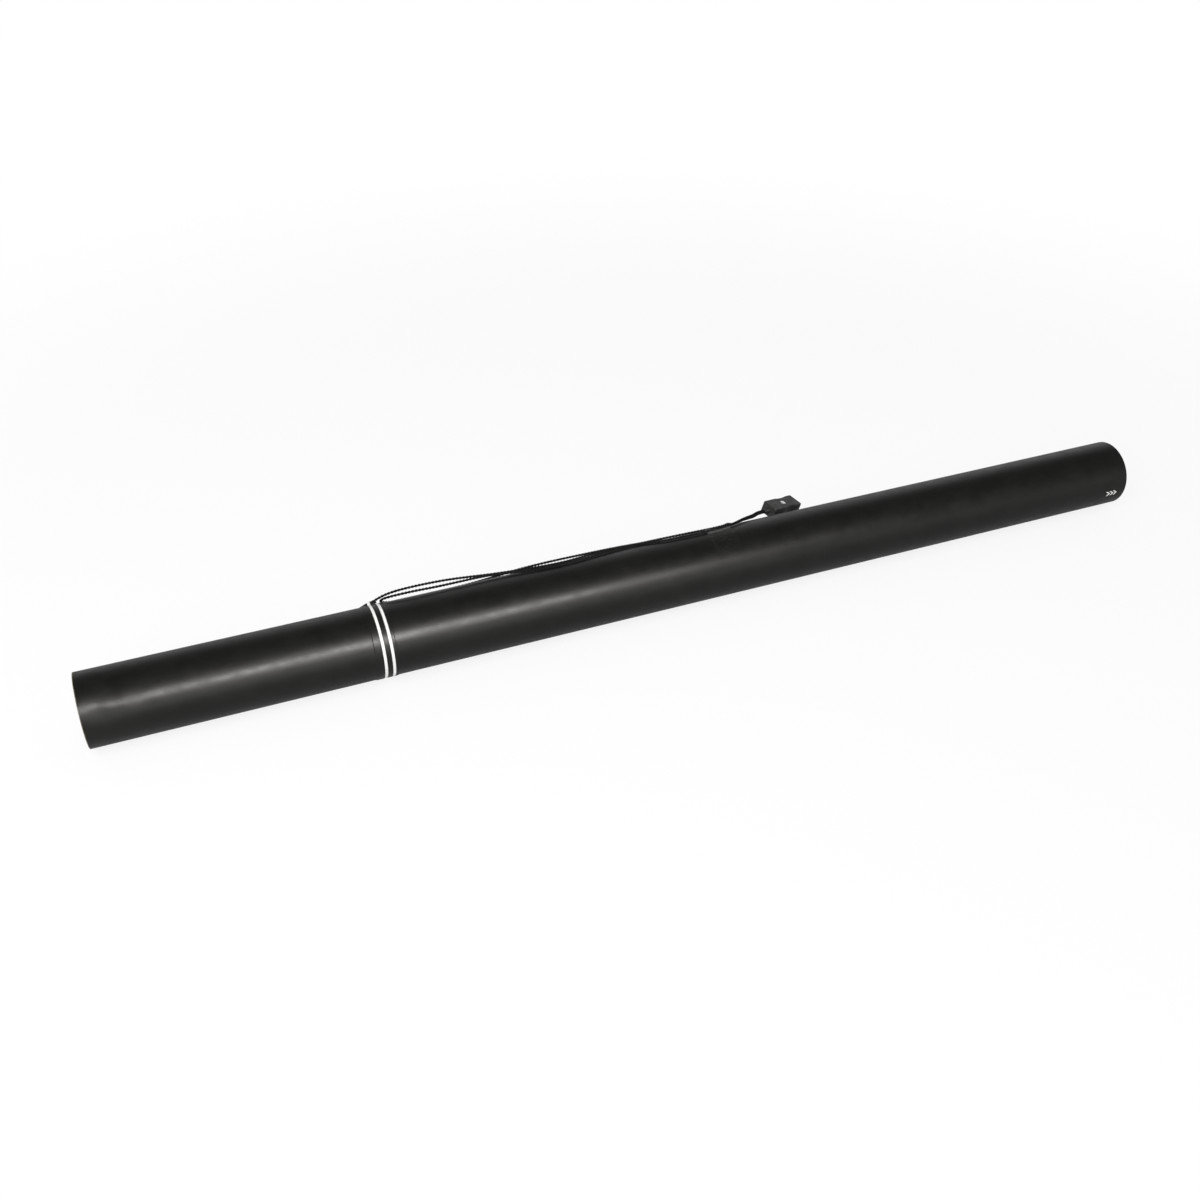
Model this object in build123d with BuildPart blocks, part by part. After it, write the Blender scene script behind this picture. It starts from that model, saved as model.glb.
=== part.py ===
"""Electrically fired confetti cannon: a board tube that lies on the floor, its gas charge and
release head in the base, its confetti in the barrel, and a firing lead folded on its back.

Millimetres. The tube lies along X with its base at -X and its mouth at +X. The origin is under the
middle of the tube, on the floor. Places along the tube are measured from its base end, angles
around it from the top, turning towards +Y, the far side.
"""
import os
from math import cos, radians, sin, sqrt, tan

from build123d import *

os.makedirs("parts", exist_ok=True)

# Tube and its coverings
TUBE_LENGTH = 800.0
TUBE_RADIUS = 25.0
WRAP_THICKNESS = 0.4
BOARD_THICKNESS = 1.6
SEAM_AHEAD = 8.9
BAND_BEHIND = 9.0
BAND_LENGTH = 15.0
BAND_RISE = 0.35

# Fits between pieces
GLUE_GAP = 0.05
SLIDE_GAP = 0.3
RUN_GAP = 0.05
REST_GAP = 0.3
CUT_OVERRUN = 1.0

# Where the firing lead leaves the tube
EXIT_AHEAD = 2.5
EXIT_AROUND = 36.0
EXIT_LIFT = 1.7
EXIT_SLOPE = 25.0
EXIT_RUN = 5.6
EXIT_TUNNEL = 13.0
SLOT_WIDTH = 2.6
SLOT_BEHIND = 8.5
SLOT_AHEAD = 3.5
BLISTER_BEHIND = 8.4
BLISTER_MIDDLE_BEHIND = 1.5
BLISTER_AHEAD = 4.5
BLISTER_START_WIDTH = 2.4
BLISTER_START_RISE = 0.3
BLISTER_MIDDLE_WIDTH = 6.4
BLISTER_MIDDLE_RISE = 2.2
BLISTER_END_WIDTH = 7.4
BLISTER_END_RISE = 2.9

# Base plug
PLUG_RECESS = 1.0
PLUG_FLOOR = 2.0
PLUG_SKIRT_LENGTH = 13.0
PLUG_SKIRT_WALL = 2.4
PLUG_SEAT_RADIUS = 14.0
PLUG_SEAT_WALL = 3.0
PLUG_SEAT_HEIGHT = 4.0

# Gas cylinder
CYLINDER_RADIUS = 19.0
CYLINDER_WALL = 1.6
CYLINDER_BODY_LENGTH = 127.0
CYLINDER_SHOULDER_LENGTH = 8.0
CYLINDER_NECK_RADIUS = 11.0
CYLINDER_NECK_LENGTH = 10.0
CYLINDER_NECK_BORE = 8.0
CYLINDER_BASE_FILLET = 6.0
CYLINDER_SHOULDER_FILLET = 5.0

# Rings that centre the cylinder
RING_LENGTH = 9.0
REAR_RING_START = 26.0
FRONT_RING_BACK = 22.0

# Bulkhead with its two posts
BULKHEAD_WEB = 3.0
BULKHEAD_RIM_LENGTH = 10.0
BULKHEAD_RIM_WALL = 2.0
POST_OFFSET = 16.5
POST_RADIUS = 2.4
POST_LENGTH = 26.0

# Valve body
SPIGOT_LENGTH = 11.0
FLANGE_RADIUS = 13.5
FLANGE_LENGTH = 3.0
VALVE_RADIUS = 7.5
VALVE_LENGTH = 12.0
VALVE_BORE = 4.0
PORT_RADIUS = 2.0
PORT_AHEAD = 4.0
EAR_THICKNESS = 2.2
EAR_LENGTH = 8.5
EAR_ABOVE_PIVOT = 2.6
SLOT_FLOOR_RADIUS = 5.9
NECK_RING_RADIUS = 9.4
NECK_RING_SECTION = 0.6

# Valve piston
PISTON_INSIDE = 18.0
PISTON_HEAD_GAP = 1.0
PISTON_HEAD_RADIUS = 5.0
PISTON_HEAD_LENGTH = 1.6
PISTON_CONE_LENGTH = 1.8
PISTON_TRAVEL = 5.0
RING_GROOVE_FLOOR = 2.65
RING_GROOVE_WIDTH = 1.5
PISTON_RING_SECTION = 0.62
PISTON_RING_PITCH = 3.4
PISTON_RING_INSET = 2.2

# Claws, their pins and the tie
CLAW_WIDTH = 6.0
CLAW_PIVOT_AHEAD = 4.5
CLAW_PIVOT_RADIUS = 8.5
CLAW_BOSS_RADIUS = 2.2
CLAW_INNER_RADIUS = 7.2
CLAW_THICKNESS = 2.4
CLAW_TIP_BEYOND_TIE = 1.6
CLAW_SIDE_GAP = 0.2
CLAW_FACE_GAP = 0.25
NOSE_RADIUS = 3.4
NOSE_LENGTH = 2.2
PIN_RADIUS = 0.95
PIN_HOLE_GAP = 0.02
PIN_STAND_OUT = 0.4
TIE_RADIUS = 0.3
TIE_GROOVE_DEPTH = 0.35
TIE_BEND = 0.7
TIE_END_GAP = 0.1

# Firing board and its heater
BOARD_STRIP_THICKNESS = 1.6
BOARD_STRIP_WIDTH = 5.0
BOARD_SCREW_RADIUS = 1.0
BOARD_SCREW_HEAD_RADIUS = 1.9
BOARD_SCREW_HEAD_LENGTH = 1.2
BOARD_SCREW_DEPTH = 6.0
HEATER_RADIUS = 1.15
HEATER_LENGTH = 6.6
HEATER_LEAD_RADIUS = 0.3
HEATER_LEAD_REACH = 2.2
HEATER_LIFT = 1.4
HEATER_LEAD_BEND = 0.7

# Joining sleeve and gas screen
SLEEVE_CLEAR = 1.0
SLEEVE_LENGTH = 66.0
SLEEVE_WALL = 1.35
SCREEN_THICKNESS = 3.0
SCREEN_RECESS = 1.0
SCREEN_HOLE_RADIUS = 3.6
SCREEN_HOLE_CIRCLE = 12.5
SCREEN_HOLES = 6

# Charge in the barrel
WAD_LENGTH = 40.0
WAD_CHAMFER = 1.5
SLIP_WIDTH = 20.0
LAYERS = 9
LAYER_GAP = 0.4
PAD_LENGTH = 24.0
PAD_CHAMFER = 1.0
MOUTH_DISC_THICKNESS = 1.5
MOUTH_RECESS = 8.8

# Firing lead and the tape that holds it
LEAD_DIAMETER = 1.8
TAPE_AHEAD = 249.0
TAPE_WIDTH = 19.0
TAPE_THICKNESS = 0.12
TAPE_FRONT_AROUND = -38.0
TAPE_BACK_AROUND = 112.0
TAPE_CLEAR = 0.5
TAPE_LEAN = 11.5
LEAD_STRAIGHT = 7.0

# Connector on the lead
CONNECTOR_AHEAD = 309.7
CONNECTOR_AROUND = 63.6
CONNECTOR_LIFT = 8.2
CONNECTOR_TURN = 19.4
CONNECTOR_DIP = 12.2
CONNECTOR_ROLL = 8.9
CONNECTOR_LENGTH = 31.0
CONNECTOR_WIDTH = 13.0
CONNECTOR_HEIGHT = 9.0
CONNECTOR_CORNER = 1.0
CONNECTOR_EDGE = 0.6
CONNECTOR_WALL = 1.8
GRIP_DEPTH = 0.8
GRIP_LENGTH = 13.0
GRIP_FORWARD = 3.0
CONTACT_SPREAD = 3.2
CONTACT_RADIUS = 1.5
CONTACT_BORE = 1.0
CONTACT_LENGTH = 14.0
CONTACT_RECESS = 0.5
SCREW_HEAD_RADIUS = 2.0
SCREW_HEAD_LENGTH = 1.3
SCREW_SHANK_RADIUS = 0.9
SCREW_DEPTH = 6.4
SCREW_SLOT_WIDTH = 0.6
SCREW_SLOT_DEPTH = 0.5
BOSS_RADIUS = 2.2
BOOT_LENGTH = 5.0
BOOT_RADIUS = 2.4
BOOT_TIP_RADIUS = 1.5

# The lead's route after its exit: (ahead of the seam, angle around the tube, lift of its middle off the wrap)
LEAD_ROUTE = [
    (14.0, 36.0, 5.5),
    (23.0, 35.8, 6.1),
    (37.0, 35.5, 6.2),
    (53.0, 35.0, 5.7),
    (68.0, 33.5, 4.4),
    (83.0, 30.5, 2.9),
    (98.0, 27.0, 2.0),
    (115.0, 22.0, 1.3),
    (137.0, 18.3, 1.05),
    (165.0, 17.2, 1.05),
    (191.0, 20.5, 1.05),
    (215.0, 26.0, 1.05),
    (234.0, 24.5, 1.05),
    (251.0, 20.8, 1.05),
    (265.0, 23.5, 1.05),
    (272.0, 31.5, 1.1),
    (277.3, 41.0, 1.15),
    (283.3, 50.0, 1.15),
    (290.0, 56.3, 1.15),
    (295.5, 63.8, 1.25),
    (297.0, 78.0, 1.3),
    (292.8, 89.0, 1.3),
    (285.5, 91.9, 1.25),
    (276.0, 88.0, 1.15),
    (263.0, 84.0, 1.05),
    (245.0, 80.0, 1.05),
    (228.0, 71.0, 1.1),
    (213.0, 56.0, 1.4),
    (198.0, 44.0, 1.9),
    (179.0, 38.5, 2.6),
    (152.0, 36.5, 2.8),
    (125.0, 36.8, 2.6),
    (105.0, 39.5, 2.0),
    (89.0, 48.0, 1.2),
    (71.0, 55.5, 1.05),
    (53.0, 59.0, 1.05),
    (37.0, 60.5, 1.05),
    (26.0, 61.0, 1.05),
    (18.0, 60.0, 1.1),
    (12.3, 53.5, 1.3),
    (10.0, 41.0, 1.7),
    (12.3, 28.6, 2.4),
    (18.5, 23.0, 3.3),
    (28.0, 22.3, 3.8),
    (43.0, 23.0, 3.7),
    (58.0, 23.0, 3.0),
    (73.0, 21.5, 2.1),
    (88.0, 18.0, 1.4),
    (107.0, 12.5, 1.05),
    (133.0, 8.5, 1.05),
    (167.0, 7.3, 1.05),
    (205.0, 8.3, 1.05),
    (237.0, 9.5, 1.05),
    (254.0, 12.0, 1.05),
    (266.0, 15.5, 1.05),
    (274.0, 21.5, 1.35),
    (280.0, 28.5, 2.0),
    (286.0, 36.5, 2.8),
    (292.0, 45.5, 3.9),
]
# Angles between which the taped runs of the lead lie under the tape: two in front, one at the back
TAPED_FRONT = (11.0, 26.5)
TAPED_BACK = (80.5, 86.0)
RADIUS_SHARE = 0.45

# Worked out from the sizes above
BOARD_RADIUS = TUBE_RADIUS - WRAP_THICKNESS
BORE_RADIUS = BOARD_RADIUS - BOARD_THICKNESS
BAND_RADIUS = TUBE_RADIUS + BAND_RISE
AXIS_HEIGHT = BAND_RADIUS
BASE_END = -TUBE_LENGTH / 2
GLUED_RADIUS = BORE_RADIUS - GLUE_GAP
CHARGE_RADIUS = BORE_RADIUS - SLIDE_GAP
LEAD_RADIUS = LEAD_DIAMETER / 2

CYLINDER_START = PLUG_RECESS + PLUG_FLOOR + PLUG_SEAT_HEIGHT
SHOULDER_START = CYLINDER_START + CYLINDER_BODY_LENGTH
NECK_START = SHOULDER_START + CYLINDER_SHOULDER_LENGTH
NECK_END = NECK_START + CYLINDER_NECK_LENGTH
FRONT_RING_START = SHOULDER_START - FRONT_RING_BACK
WEB_START = NECK_END - BULKHEAD_WEB
RIM_END = WEB_START + BULKHEAD_RIM_LENGTH
FLANGE_END = NECK_END + FLANGE_LENGTH
VALVE_END = FLANGE_END + VALVE_LENGTH
PIVOT_ALONG = FLANGE_END + CLAW_PIVOT_AHEAD
HEAD_START = VALVE_END + PISTON_HEAD_GAP
CONE_START = HEAD_START + PISTON_HEAD_LENGTH
HEAD_END = CONE_START + PISTON_CONE_LENGTH
PISTON_START = HEAD_START - PISTON_INSIDE
POST_END = NECK_END + POST_LENGTH
STRIP_END = POST_END + BOARD_STRIP_THICKNESS
HEATER_ALONG = STRIP_END + HEATER_LIFT
TIE_ALONG = HEATER_ALONG + HEATER_RADIUS + RUN_GAP + TIE_RADIUS
CLAW_OUTER_RADIUS = CLAW_INNER_RADIUS + CLAW_THICKNESS
CLAW_TIP = TIE_ALONG + CLAW_TIP_BEYOND_TIE
CLAW_HOLE_RADIUS = PIN_RADIUS + RUN_GAP
CLAW_SLOT_WIDTH = CLAW_WIDTH + 2 * CLAW_SIDE_GAP
EAR_SPAN = CLAW_SLOT_WIDTH + 2 * EAR_THICKNESS
SLEEVE_START = RIM_END + SLEEVE_CLEAR
SLEEVE_END = SLEEVE_START + SLEEVE_LENGTH
SLEEVE_BORE = GLUED_RADIUS - SLEEVE_WALL
SCREEN_START = SLEEVE_END - SCREEN_RECESS - SCREEN_THICKNESS
WAD_START = SLEEVE_END + REST_GAP
LAYERS_START = WAD_START + WAD_LENGTH + LAYER_GAP
MOUTH_DISC_START = TUBE_LENGTH - MOUTH_RECESS - MOUTH_DISC_THICKNESS
PAD_START = MOUTH_DISC_START - LAYER_GAP - PAD_LENGTH
LAYER_PITCH = (PAD_START - LAYERS_START) / LAYERS
SLIP_LENGTH = LAYER_PITCH - LAYER_GAP

BASE_LENGTH = CLAW_TIP + SEAM_AHEAD
BAND_START = BASE_LENGTH - BAND_BEHIND
BAND_END = BAND_START + BAND_LENGTH
EXIT_ALONG = BASE_LENGTH + EXIT_AHEAD
SLOT_START = BASE_LENGTH - SLOT_BEHIND
SLOT_END = BASE_LENGTH + SLOT_AHEAD
BLISTER_START = BASE_LENGTH - BLISTER_BEHIND
BLISTER_MIDDLE = BASE_LENGTH - BLISTER_MIDDLE_BEHIND
BLISTER_END = BASE_LENGTH + BLISTER_AHEAD
TAPE_START = BASE_LENGTH + TAPE_AHEAD
CONNECTOR_ALONG = BASE_LENGTH + CONNECTOR_AHEAD

AXIAL = Plane(origin=(BASE_END, 0, AXIS_HEIGHT), x_dir=(1, 0, 0), z_dir=(0, -1, 0))
TUBE_AXIS = Axis((BASE_END, 0, AXIS_HEIGHT), (1, 0, 0))
MIRROR_LEVEL = Plane.XY.offset(AXIS_HEIGHT)


def station(along):
    """Plane square to the tube, with its local x away from the front and its local y up."""
    return Plane(origin=(BASE_END + along, 0, AXIS_HEIGHT), x_dir=(0, 1, 0), z_dir=(1, 0, 0))


def turned_station(along, around):
    """Station plane whose local y points out of the tube at an angle from the top."""
    outward = (0, sin(radians(around)), cos(radians(around)))
    across = (0, cos(radians(around)), -sin(radians(around)))
    return Plane(origin=(BASE_END + along, 0, AXIS_HEIGHT), x_dir=across, z_dir=(1, 0, 0)), outward


def on_tube(along, around, lift):
    """Point off the wrap's surface by a lift."""
    radius = TUBE_RADIUS + lift
    angle = radians(around)
    return Vector(BASE_END + along, radius * sin(angle), AXIS_HEIGHT + radius * cos(angle))


def polar(radius, around):
    """Point of a station plane at an angle from the top."""
    return (radius * sin(radians(around)), radius * cos(radians(around)))


def save(piece, label):
    """Label a finished piece and write its file."""
    piece.part.label = label
    export_step(piece.part, f"parts/{label}.step")


def ring(start, length, outer, inner):
    """Plain ring around the tube's axis."""
    with BuildPart() as piece:
        with BuildSketch(station(start)):
            Circle(outer)
            Circle(inner, mode=Mode.SUBTRACT)
        extrude(amount=length)
    return piece


def lead_slot():
    """Slot that lets the lead out through the wall, cut from the part in hand."""
    plane, outward = turned_station(SLOT_START, EXIT_AROUND)
    with BuildSketch(plane) as slot:
        with Locations((0, TUBE_RADIUS)):
            Rectangle(SLOT_WIDTH, 2 * (TUBE_RADIUS - SLEEVE_BORE) + CUT_OVERRUN)
    extrude(slot.sketch, amount=SLOT_END - SLOT_START, mode=Mode.SUBTRACT)


# Board tubes, with the slot for the lead across their seam
with BuildPart() as base_tube:
    with BuildSketch(station(0)):
        Circle(BOARD_RADIUS)
        Circle(BORE_RADIUS, mode=Mode.SUBTRACT)
    extrude(amount=BASE_LENGTH)
    lead_slot()
save(base_tube, "base_tube")

with BuildPart() as barrel_tube:
    with BuildSketch(station(BASE_LENGTH)):
        Circle(BOARD_RADIUS)
        Circle(BORE_RADIUS, mode=Mode.SUBTRACT)
    extrude(amount=TUBE_LENGTH - BASE_LENGTH)
    lead_slot()
save(barrel_tube, "barrel_tube")

# Printed paper on the tubes
wrap_inner = BOARD_RADIUS + GLUE_GAP
save(ring(0, BAND_START, TUBE_RADIUS, wrap_inner), "base_wrap")
save(ring(BAND_END, TUBE_LENGTH - BAND_END, TUBE_RADIUS, wrap_inner), "barrel_wrap")

# Joint band over the seam, with the blister that the lead comes out of
exit_point = on_tube(EXIT_ALONG, EXIT_AROUND, EXIT_LIFT)
exit_plane, exit_outward = turned_station(EXIT_ALONG, EXIT_AROUND)
exit_direction = Vector(
    cos(radians(EXIT_SLOPE)),
    sin(radians(EXIT_SLOPE)) * exit_outward[1],
    sin(radians(EXIT_SLOPE)) * exit_outward[2],
)
tunnel_start = exit_point - exit_direction * EXIT_TUNNEL
tunnel_plane = Plane(origin=tunnel_start, z_dir=exit_direction)

with BuildPart() as joint_band:
    for along, width, rise in (
        (BLISTER_START, BLISTER_START_WIDTH, BLISTER_START_RISE),
        (BLISTER_MIDDLE, BLISTER_MIDDLE_WIDTH, BLISTER_MIDDLE_RISE),
        (BLISTER_END, BLISTER_END_WIDTH, BLISTER_END_RISE),
    ):
        with BuildSketch(turned_station(along, EXIT_AROUND)[0]):
            with Locations((0, BOARD_RADIUS)):
                Ellipse(width / 2, rise + TUBE_RADIUS - BOARD_RADIUS)
    loft()
    with BuildSketch(station(BAND_START)):
        Circle(BAND_RADIUS)
    extrude(amount=BAND_LENGTH)
    with BuildSketch(station(BAND_START)):
        Circle(wrap_inner)
    extrude(amount=BAND_LENGTH, mode=Mode.SUBTRACT)
    with BuildSketch(tunnel_plane):
        Circle(LEAD_RADIUS + GLUE_GAP)
    extrude(amount=2 * EXIT_TUNNEL, mode=Mode.SUBTRACT)
save(joint_band, "joint_band")

# Base plug that closes the tube and seats the cylinder
with BuildPart() as base_plug:
    with BuildSketch(station(PLUG_RECESS)):
        Circle(GLUED_RADIUS)
    extrude(amount=PLUG_FLOOR)
    with BuildSketch(station(PLUG_RECESS + PLUG_FLOOR)):
        Circle(GLUED_RADIUS)
        Circle(GLUED_RADIUS - PLUG_SKIRT_WALL, mode=Mode.SUBTRACT)
    extrude(amount=PLUG_SKIRT_LENGTH - PLUG_FLOOR)
    with BuildSketch(station(PLUG_RECESS + PLUG_FLOOR)):
        Circle(PLUG_SEAT_RADIUS)
        Circle(PLUG_SEAT_RADIUS - PLUG_SEAT_WALL, mode=Mode.SUBTRACT)
    extrude(amount=PLUG_SEAT_HEIGHT)
save(base_plug, "base_plug")

# Gas cylinder: a drawn bottle with a thick neck
with BuildPart() as gas_cylinder:
    with BuildSketch(AXIAL) as outside:
        with BuildLine():
            Polyline(
                (CYLINDER_START, 0),
                (CYLINDER_START, CYLINDER_RADIUS),
                (SHOULDER_START, CYLINDER_RADIUS),
                (NECK_START, CYLINDER_NECK_RADIUS),
                (NECK_END, CYLINDER_NECK_RADIUS),
                (NECK_END, 0),
                close=True,
            )
        make_face()
        base_corner = outside.vertices().sort_by(Axis.X)[:2].sort_by(Axis.Y)[-1]
        fillet(base_corner, CYLINDER_BASE_FILLET)
        shoulder = outside.vertices().group_by(Axis.Y)[-1].sort_by(Axis.X)[-1]
        fillet(shoulder, CYLINDER_SHOULDER_FILLET)
    revolve(axis=TUBE_AXIS)
    with BuildSketch(AXIAL) as inside:
        with BuildLine():
            Polyline(
                (CYLINDER_START + CYLINDER_WALL, 0),
                (CYLINDER_START + CYLINDER_WALL, CYLINDER_RADIUS - CYLINDER_WALL),
                (SHOULDER_START - CYLINDER_WALL, CYLINDER_RADIUS - CYLINDER_WALL),
                (NECK_START, CYLINDER_NECK_BORE),
                (NECK_END + CUT_OVERRUN, CYLINDER_NECK_BORE),
                (NECK_END + CUT_OVERRUN, 0),
                close=True,
            )
        make_face()
        base_corner = inside.vertices().sort_by(Axis.X)[:2].sort_by(Axis.Y)[-1]
        fillet(base_corner, CYLINDER_BASE_FILLET - CYLINDER_WALL)
        shoulder = inside.vertices().group_by(Axis.Y)[-1].sort_by(Axis.X)[-1]
        fillet(shoulder, CYLINDER_SHOULDER_FILLET - CYLINDER_WALL)
    revolve(axis=TUBE_AXIS, mode=Mode.SUBTRACT)
save(gas_cylinder, "gas_cylinder")

# Board rings that centre the cylinder in the base tube
for name, start in (("rear_centring_ring", REAR_RING_START), ("front_centring_ring", FRONT_RING_START)):
    save(ring(start, RING_LENGTH, GLUED_RADIUS, CYLINDER_RADIUS + GLUE_GAP), name)

# Bulkhead clamped between the cylinder's shoulder and the valve's flange
with BuildPart() as bulkhead:
    with BuildSketch(station(WEB_START)):
        Circle(GLUED_RADIUS)
        Circle(CYLINDER_NECK_RADIUS + GLUE_GAP, mode=Mode.SUBTRACT)
    extrude(amount=BULKHEAD_WEB)
    with BuildSketch(station(WEB_START)):
        Circle(GLUED_RADIUS)
        Circle(GLUED_RADIUS - BULKHEAD_RIM_WALL, mode=Mode.SUBTRACT)
    extrude(amount=BULKHEAD_RIM_LENGTH)
    with BuildSketch(station(WEB_START)):
        with Locations((POST_OFFSET, 0), (-POST_OFFSET, 0)):
            Circle(POST_RADIUS)
    extrude(amount=POST_END - WEB_START)
    with BuildSketch(station(POST_END)):
        with Locations((POST_OFFSET, 0), (-POST_OFFSET, 0)):
            Circle(BOARD_SCREW_RADIUS + GLUE_GAP)
    extrude(amount=-(BOARD_SCREW_DEPTH + GLUE_GAP), mode=Mode.SUBTRACT)
save(bulkhead, "bulkhead")

# Seal under the valve's flange
with BuildPart() as neck_seal:
    with BuildSketch(AXIAL):
        with Locations((NECK_END + NECK_RING_SECTION, NECK_RING_RADIUS)):
            Circle(NECK_RING_SECTION - PIN_HOLE_GAP)
    revolve(axis=TUBE_AXIS)
save(neck_seal, "neck_seal")

# Valve body: spigot, flange, bore, gas ports and the ears that carry the claws
with BuildPart() as valve_body:
    with BuildSketch(AXIAL):
        with BuildLine():
            Polyline(
                (NECK_END - SPIGOT_LENGTH, VALVE_BORE),
                (NECK_END - SPIGOT_LENGTH, CYLINDER_NECK_BORE - GLUE_GAP),
                (NECK_END, CYLINDER_NECK_BORE - GLUE_GAP),
                (NECK_END, FLANGE_RADIUS),
                (FLANGE_END, FLANGE_RADIUS),
                (FLANGE_END, VALVE_RADIUS),
                (VALVE_END, VALVE_RADIUS),
                (VALVE_END, VALVE_BORE),
                close=True,
            )
        make_face()
    revolve(axis=TUBE_AXIS)
    ear_top = CLAW_PIVOT_RADIUS + EAR_ABOVE_PIVOT
    with BuildSketch(station(FLANGE_END)):
        Rectangle(EAR_SPAN, 2 * ear_top)
        Circle(VALVE_BORE, mode=Mode.SUBTRACT)
    extrude(amount=EAR_LENGTH)
    with BuildSketch(station(FLANGE_END)):
        for side in (1, -1):
            with Locations((0, side * (SLOT_FLOOR_RADIUS + ear_top) / 2)):
                Rectangle(CLAW_SLOT_WIDTH, ear_top - SLOT_FLOOR_RADIUS)
    extrude(amount=VALVE_LENGTH, mode=Mode.SUBTRACT)
    with BuildSketch(AXIAL.offset(-EAR_SPAN)):
        with Locations((PIVOT_ALONG, CLAW_PIVOT_RADIUS), (PIVOT_ALONG, -CLAW_PIVOT_RADIUS)):
            Circle(PIN_RADIUS + PIN_HOLE_GAP)
    extrude(amount=2 * EAR_SPAN, mode=Mode.SUBTRACT)
    with BuildSketch(AXIAL.offset(-VALVE_RADIUS - CUT_OVERRUN)):
        with Locations((FLANGE_END + PORT_AHEAD, 0)):
            Circle(PORT_RADIUS)
    extrude(amount=2 * (VALVE_RADIUS + CUT_OVERRUN), mode=Mode.SUBTRACT)
    with BuildSketch(station(NECK_END)):
        Circle(NECK_RING_RADIUS + NECK_RING_SECTION + GLUE_GAP)
        Circle(NECK_RING_RADIUS - NECK_RING_SECTION - GLUE_GAP, mode=Mode.SUBTRACT)
    extrude(amount=2 * NECK_RING_SECTION, mode=Mode.SUBTRACT)
save(valve_body, "valve_body")

# Piston with a coned head, and its two seals
first_ring = PISTON_START + PISTON_RING_INSET
piston_rings = (first_ring, first_ring + PISTON_RING_PITCH)
with BuildPart() as valve_piston:
    with BuildSketch(AXIAL):
        with BuildLine():
            Polyline(
                (PISTON_START, 0),
                (PISTON_START, VALVE_BORE - RUN_GAP),
                (HEAD_START, VALVE_BORE - RUN_GAP),
                (HEAD_START, PISTON_HEAD_RADIUS),
                (CONE_START, PISTON_HEAD_RADIUS),
                (HEAD_END, PISTON_HEAD_RADIUS - PISTON_CONE_LENGTH),
                (HEAD_END, 0),
                close=True,
            )
        make_face()
    revolve(axis=TUBE_AXIS)
    for along in piston_rings:
        with BuildSketch(station(along - RING_GROOVE_WIDTH / 2)):
            Circle(VALVE_BORE)
            Circle(RING_GROOVE_FLOOR, mode=Mode.SUBTRACT)
        extrude(amount=RING_GROOVE_WIDTH, mode=Mode.SUBTRACT)
save(valve_piston, "valve_piston")

with BuildPart() as piston_seals:
    with BuildSketch(AXIAL):
        for along in piston_rings:
            with Locations((along, RING_GROOVE_FLOOR + PIN_HOLE_GAP + PISTON_RING_SECTION)):
                Circle(PISTON_RING_SECTION)
    revolve(axis=TUBE_AXIS)
save(piston_seals, "piston_seals")

# Claws that hold the piston's head, one above the axis and one below
nose_line = CONE_START + PISTON_HEAD_RADIUS + CLAW_FACE_GAP
with BuildPart() as upper_claw:
    with BuildSketch(AXIAL):
        with BuildLine():
            Polyline(
                (PIVOT_ALONG, CLAW_INNER_RADIUS),
                (nose_line - CLAW_INNER_RADIUS, CLAW_INNER_RADIUS),
                (nose_line - NOSE_RADIUS, NOSE_RADIUS),
                (nose_line - NOSE_RADIUS + NOSE_LENGTH, NOSE_RADIUS),
                (nose_line - NOSE_RADIUS + NOSE_LENGTH + CLAW_INNER_RADIUS - NOSE_RADIUS, CLAW_INNER_RADIUS),
                (CLAW_TIP, CLAW_INNER_RADIUS),
                (CLAW_TIP, CLAW_OUTER_RADIUS),
                (PIVOT_ALONG, CLAW_OUTER_RADIUS),
                close=True,
            )
        make_face()
        with Locations((PIVOT_ALONG, CLAW_PIVOT_RADIUS)):
            Circle(CLAW_BOSS_RADIUS)
            Circle(CLAW_HOLE_RADIUS, mode=Mode.SUBTRACT)
        with Locations((TIE_ALONG, CLAW_OUTER_RADIUS)):
            Rectangle(4 * TIE_RADIUS, 2 * TIE_GROOVE_DEPTH, mode=Mode.SUBTRACT)
    extrude(amount=CLAW_WIDTH / 2, both=True)
save(upper_claw, "upper_claw")

with BuildPart() as lower_claw:
    mirror(upper_claw.part, about=MIRROR_LEVEL)
save(lower_claw, "lower_claw")

with BuildPart() as claw_pins:
    pin_length = EAR_SPAN + 2 * PIN_STAND_OUT
    with BuildSketch(AXIAL):
        with Locations((PIVOT_ALONG, CLAW_PIVOT_RADIUS), (PIVOT_ALONG, -CLAW_PIVOT_RADIUS)):
            Circle(PIN_RADIUS)
    extrude(amount=pin_length / 2, both=True)
save(claw_pins, "claw_pins")

# Nylon tie round the claws' tips, in two halves because it parts when it fires
tie_side = CLAW_WIDTH / 2 + TIE_RADIUS + RUN_GAP
tie_top = CLAW_OUTER_RADIUS - TIE_GROOVE_DEPTH + TIE_RADIUS + RUN_GAP
with BuildPart() as upper_tie:
    with BuildLine(station(TIE_ALONG)) as tie_path:
        FilletPolyline(
            (tie_side, TIE_END_GAP),
            (tie_side, tie_top),
            (-tie_side, tie_top),
            (-tie_side, TIE_END_GAP),
            radius=TIE_BEND,
        )
    with BuildSketch(Plane(tie_path.line @ 0, z_dir=tie_path.line % 0)):
        Circle(TIE_RADIUS)
    sweep()
save(upper_tie, "upper_tie")

with BuildPart() as lower_tie:
    mirror(upper_tie.part, about=MIRROR_LEVEL)
save(lower_tie, "lower_tie")

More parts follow.
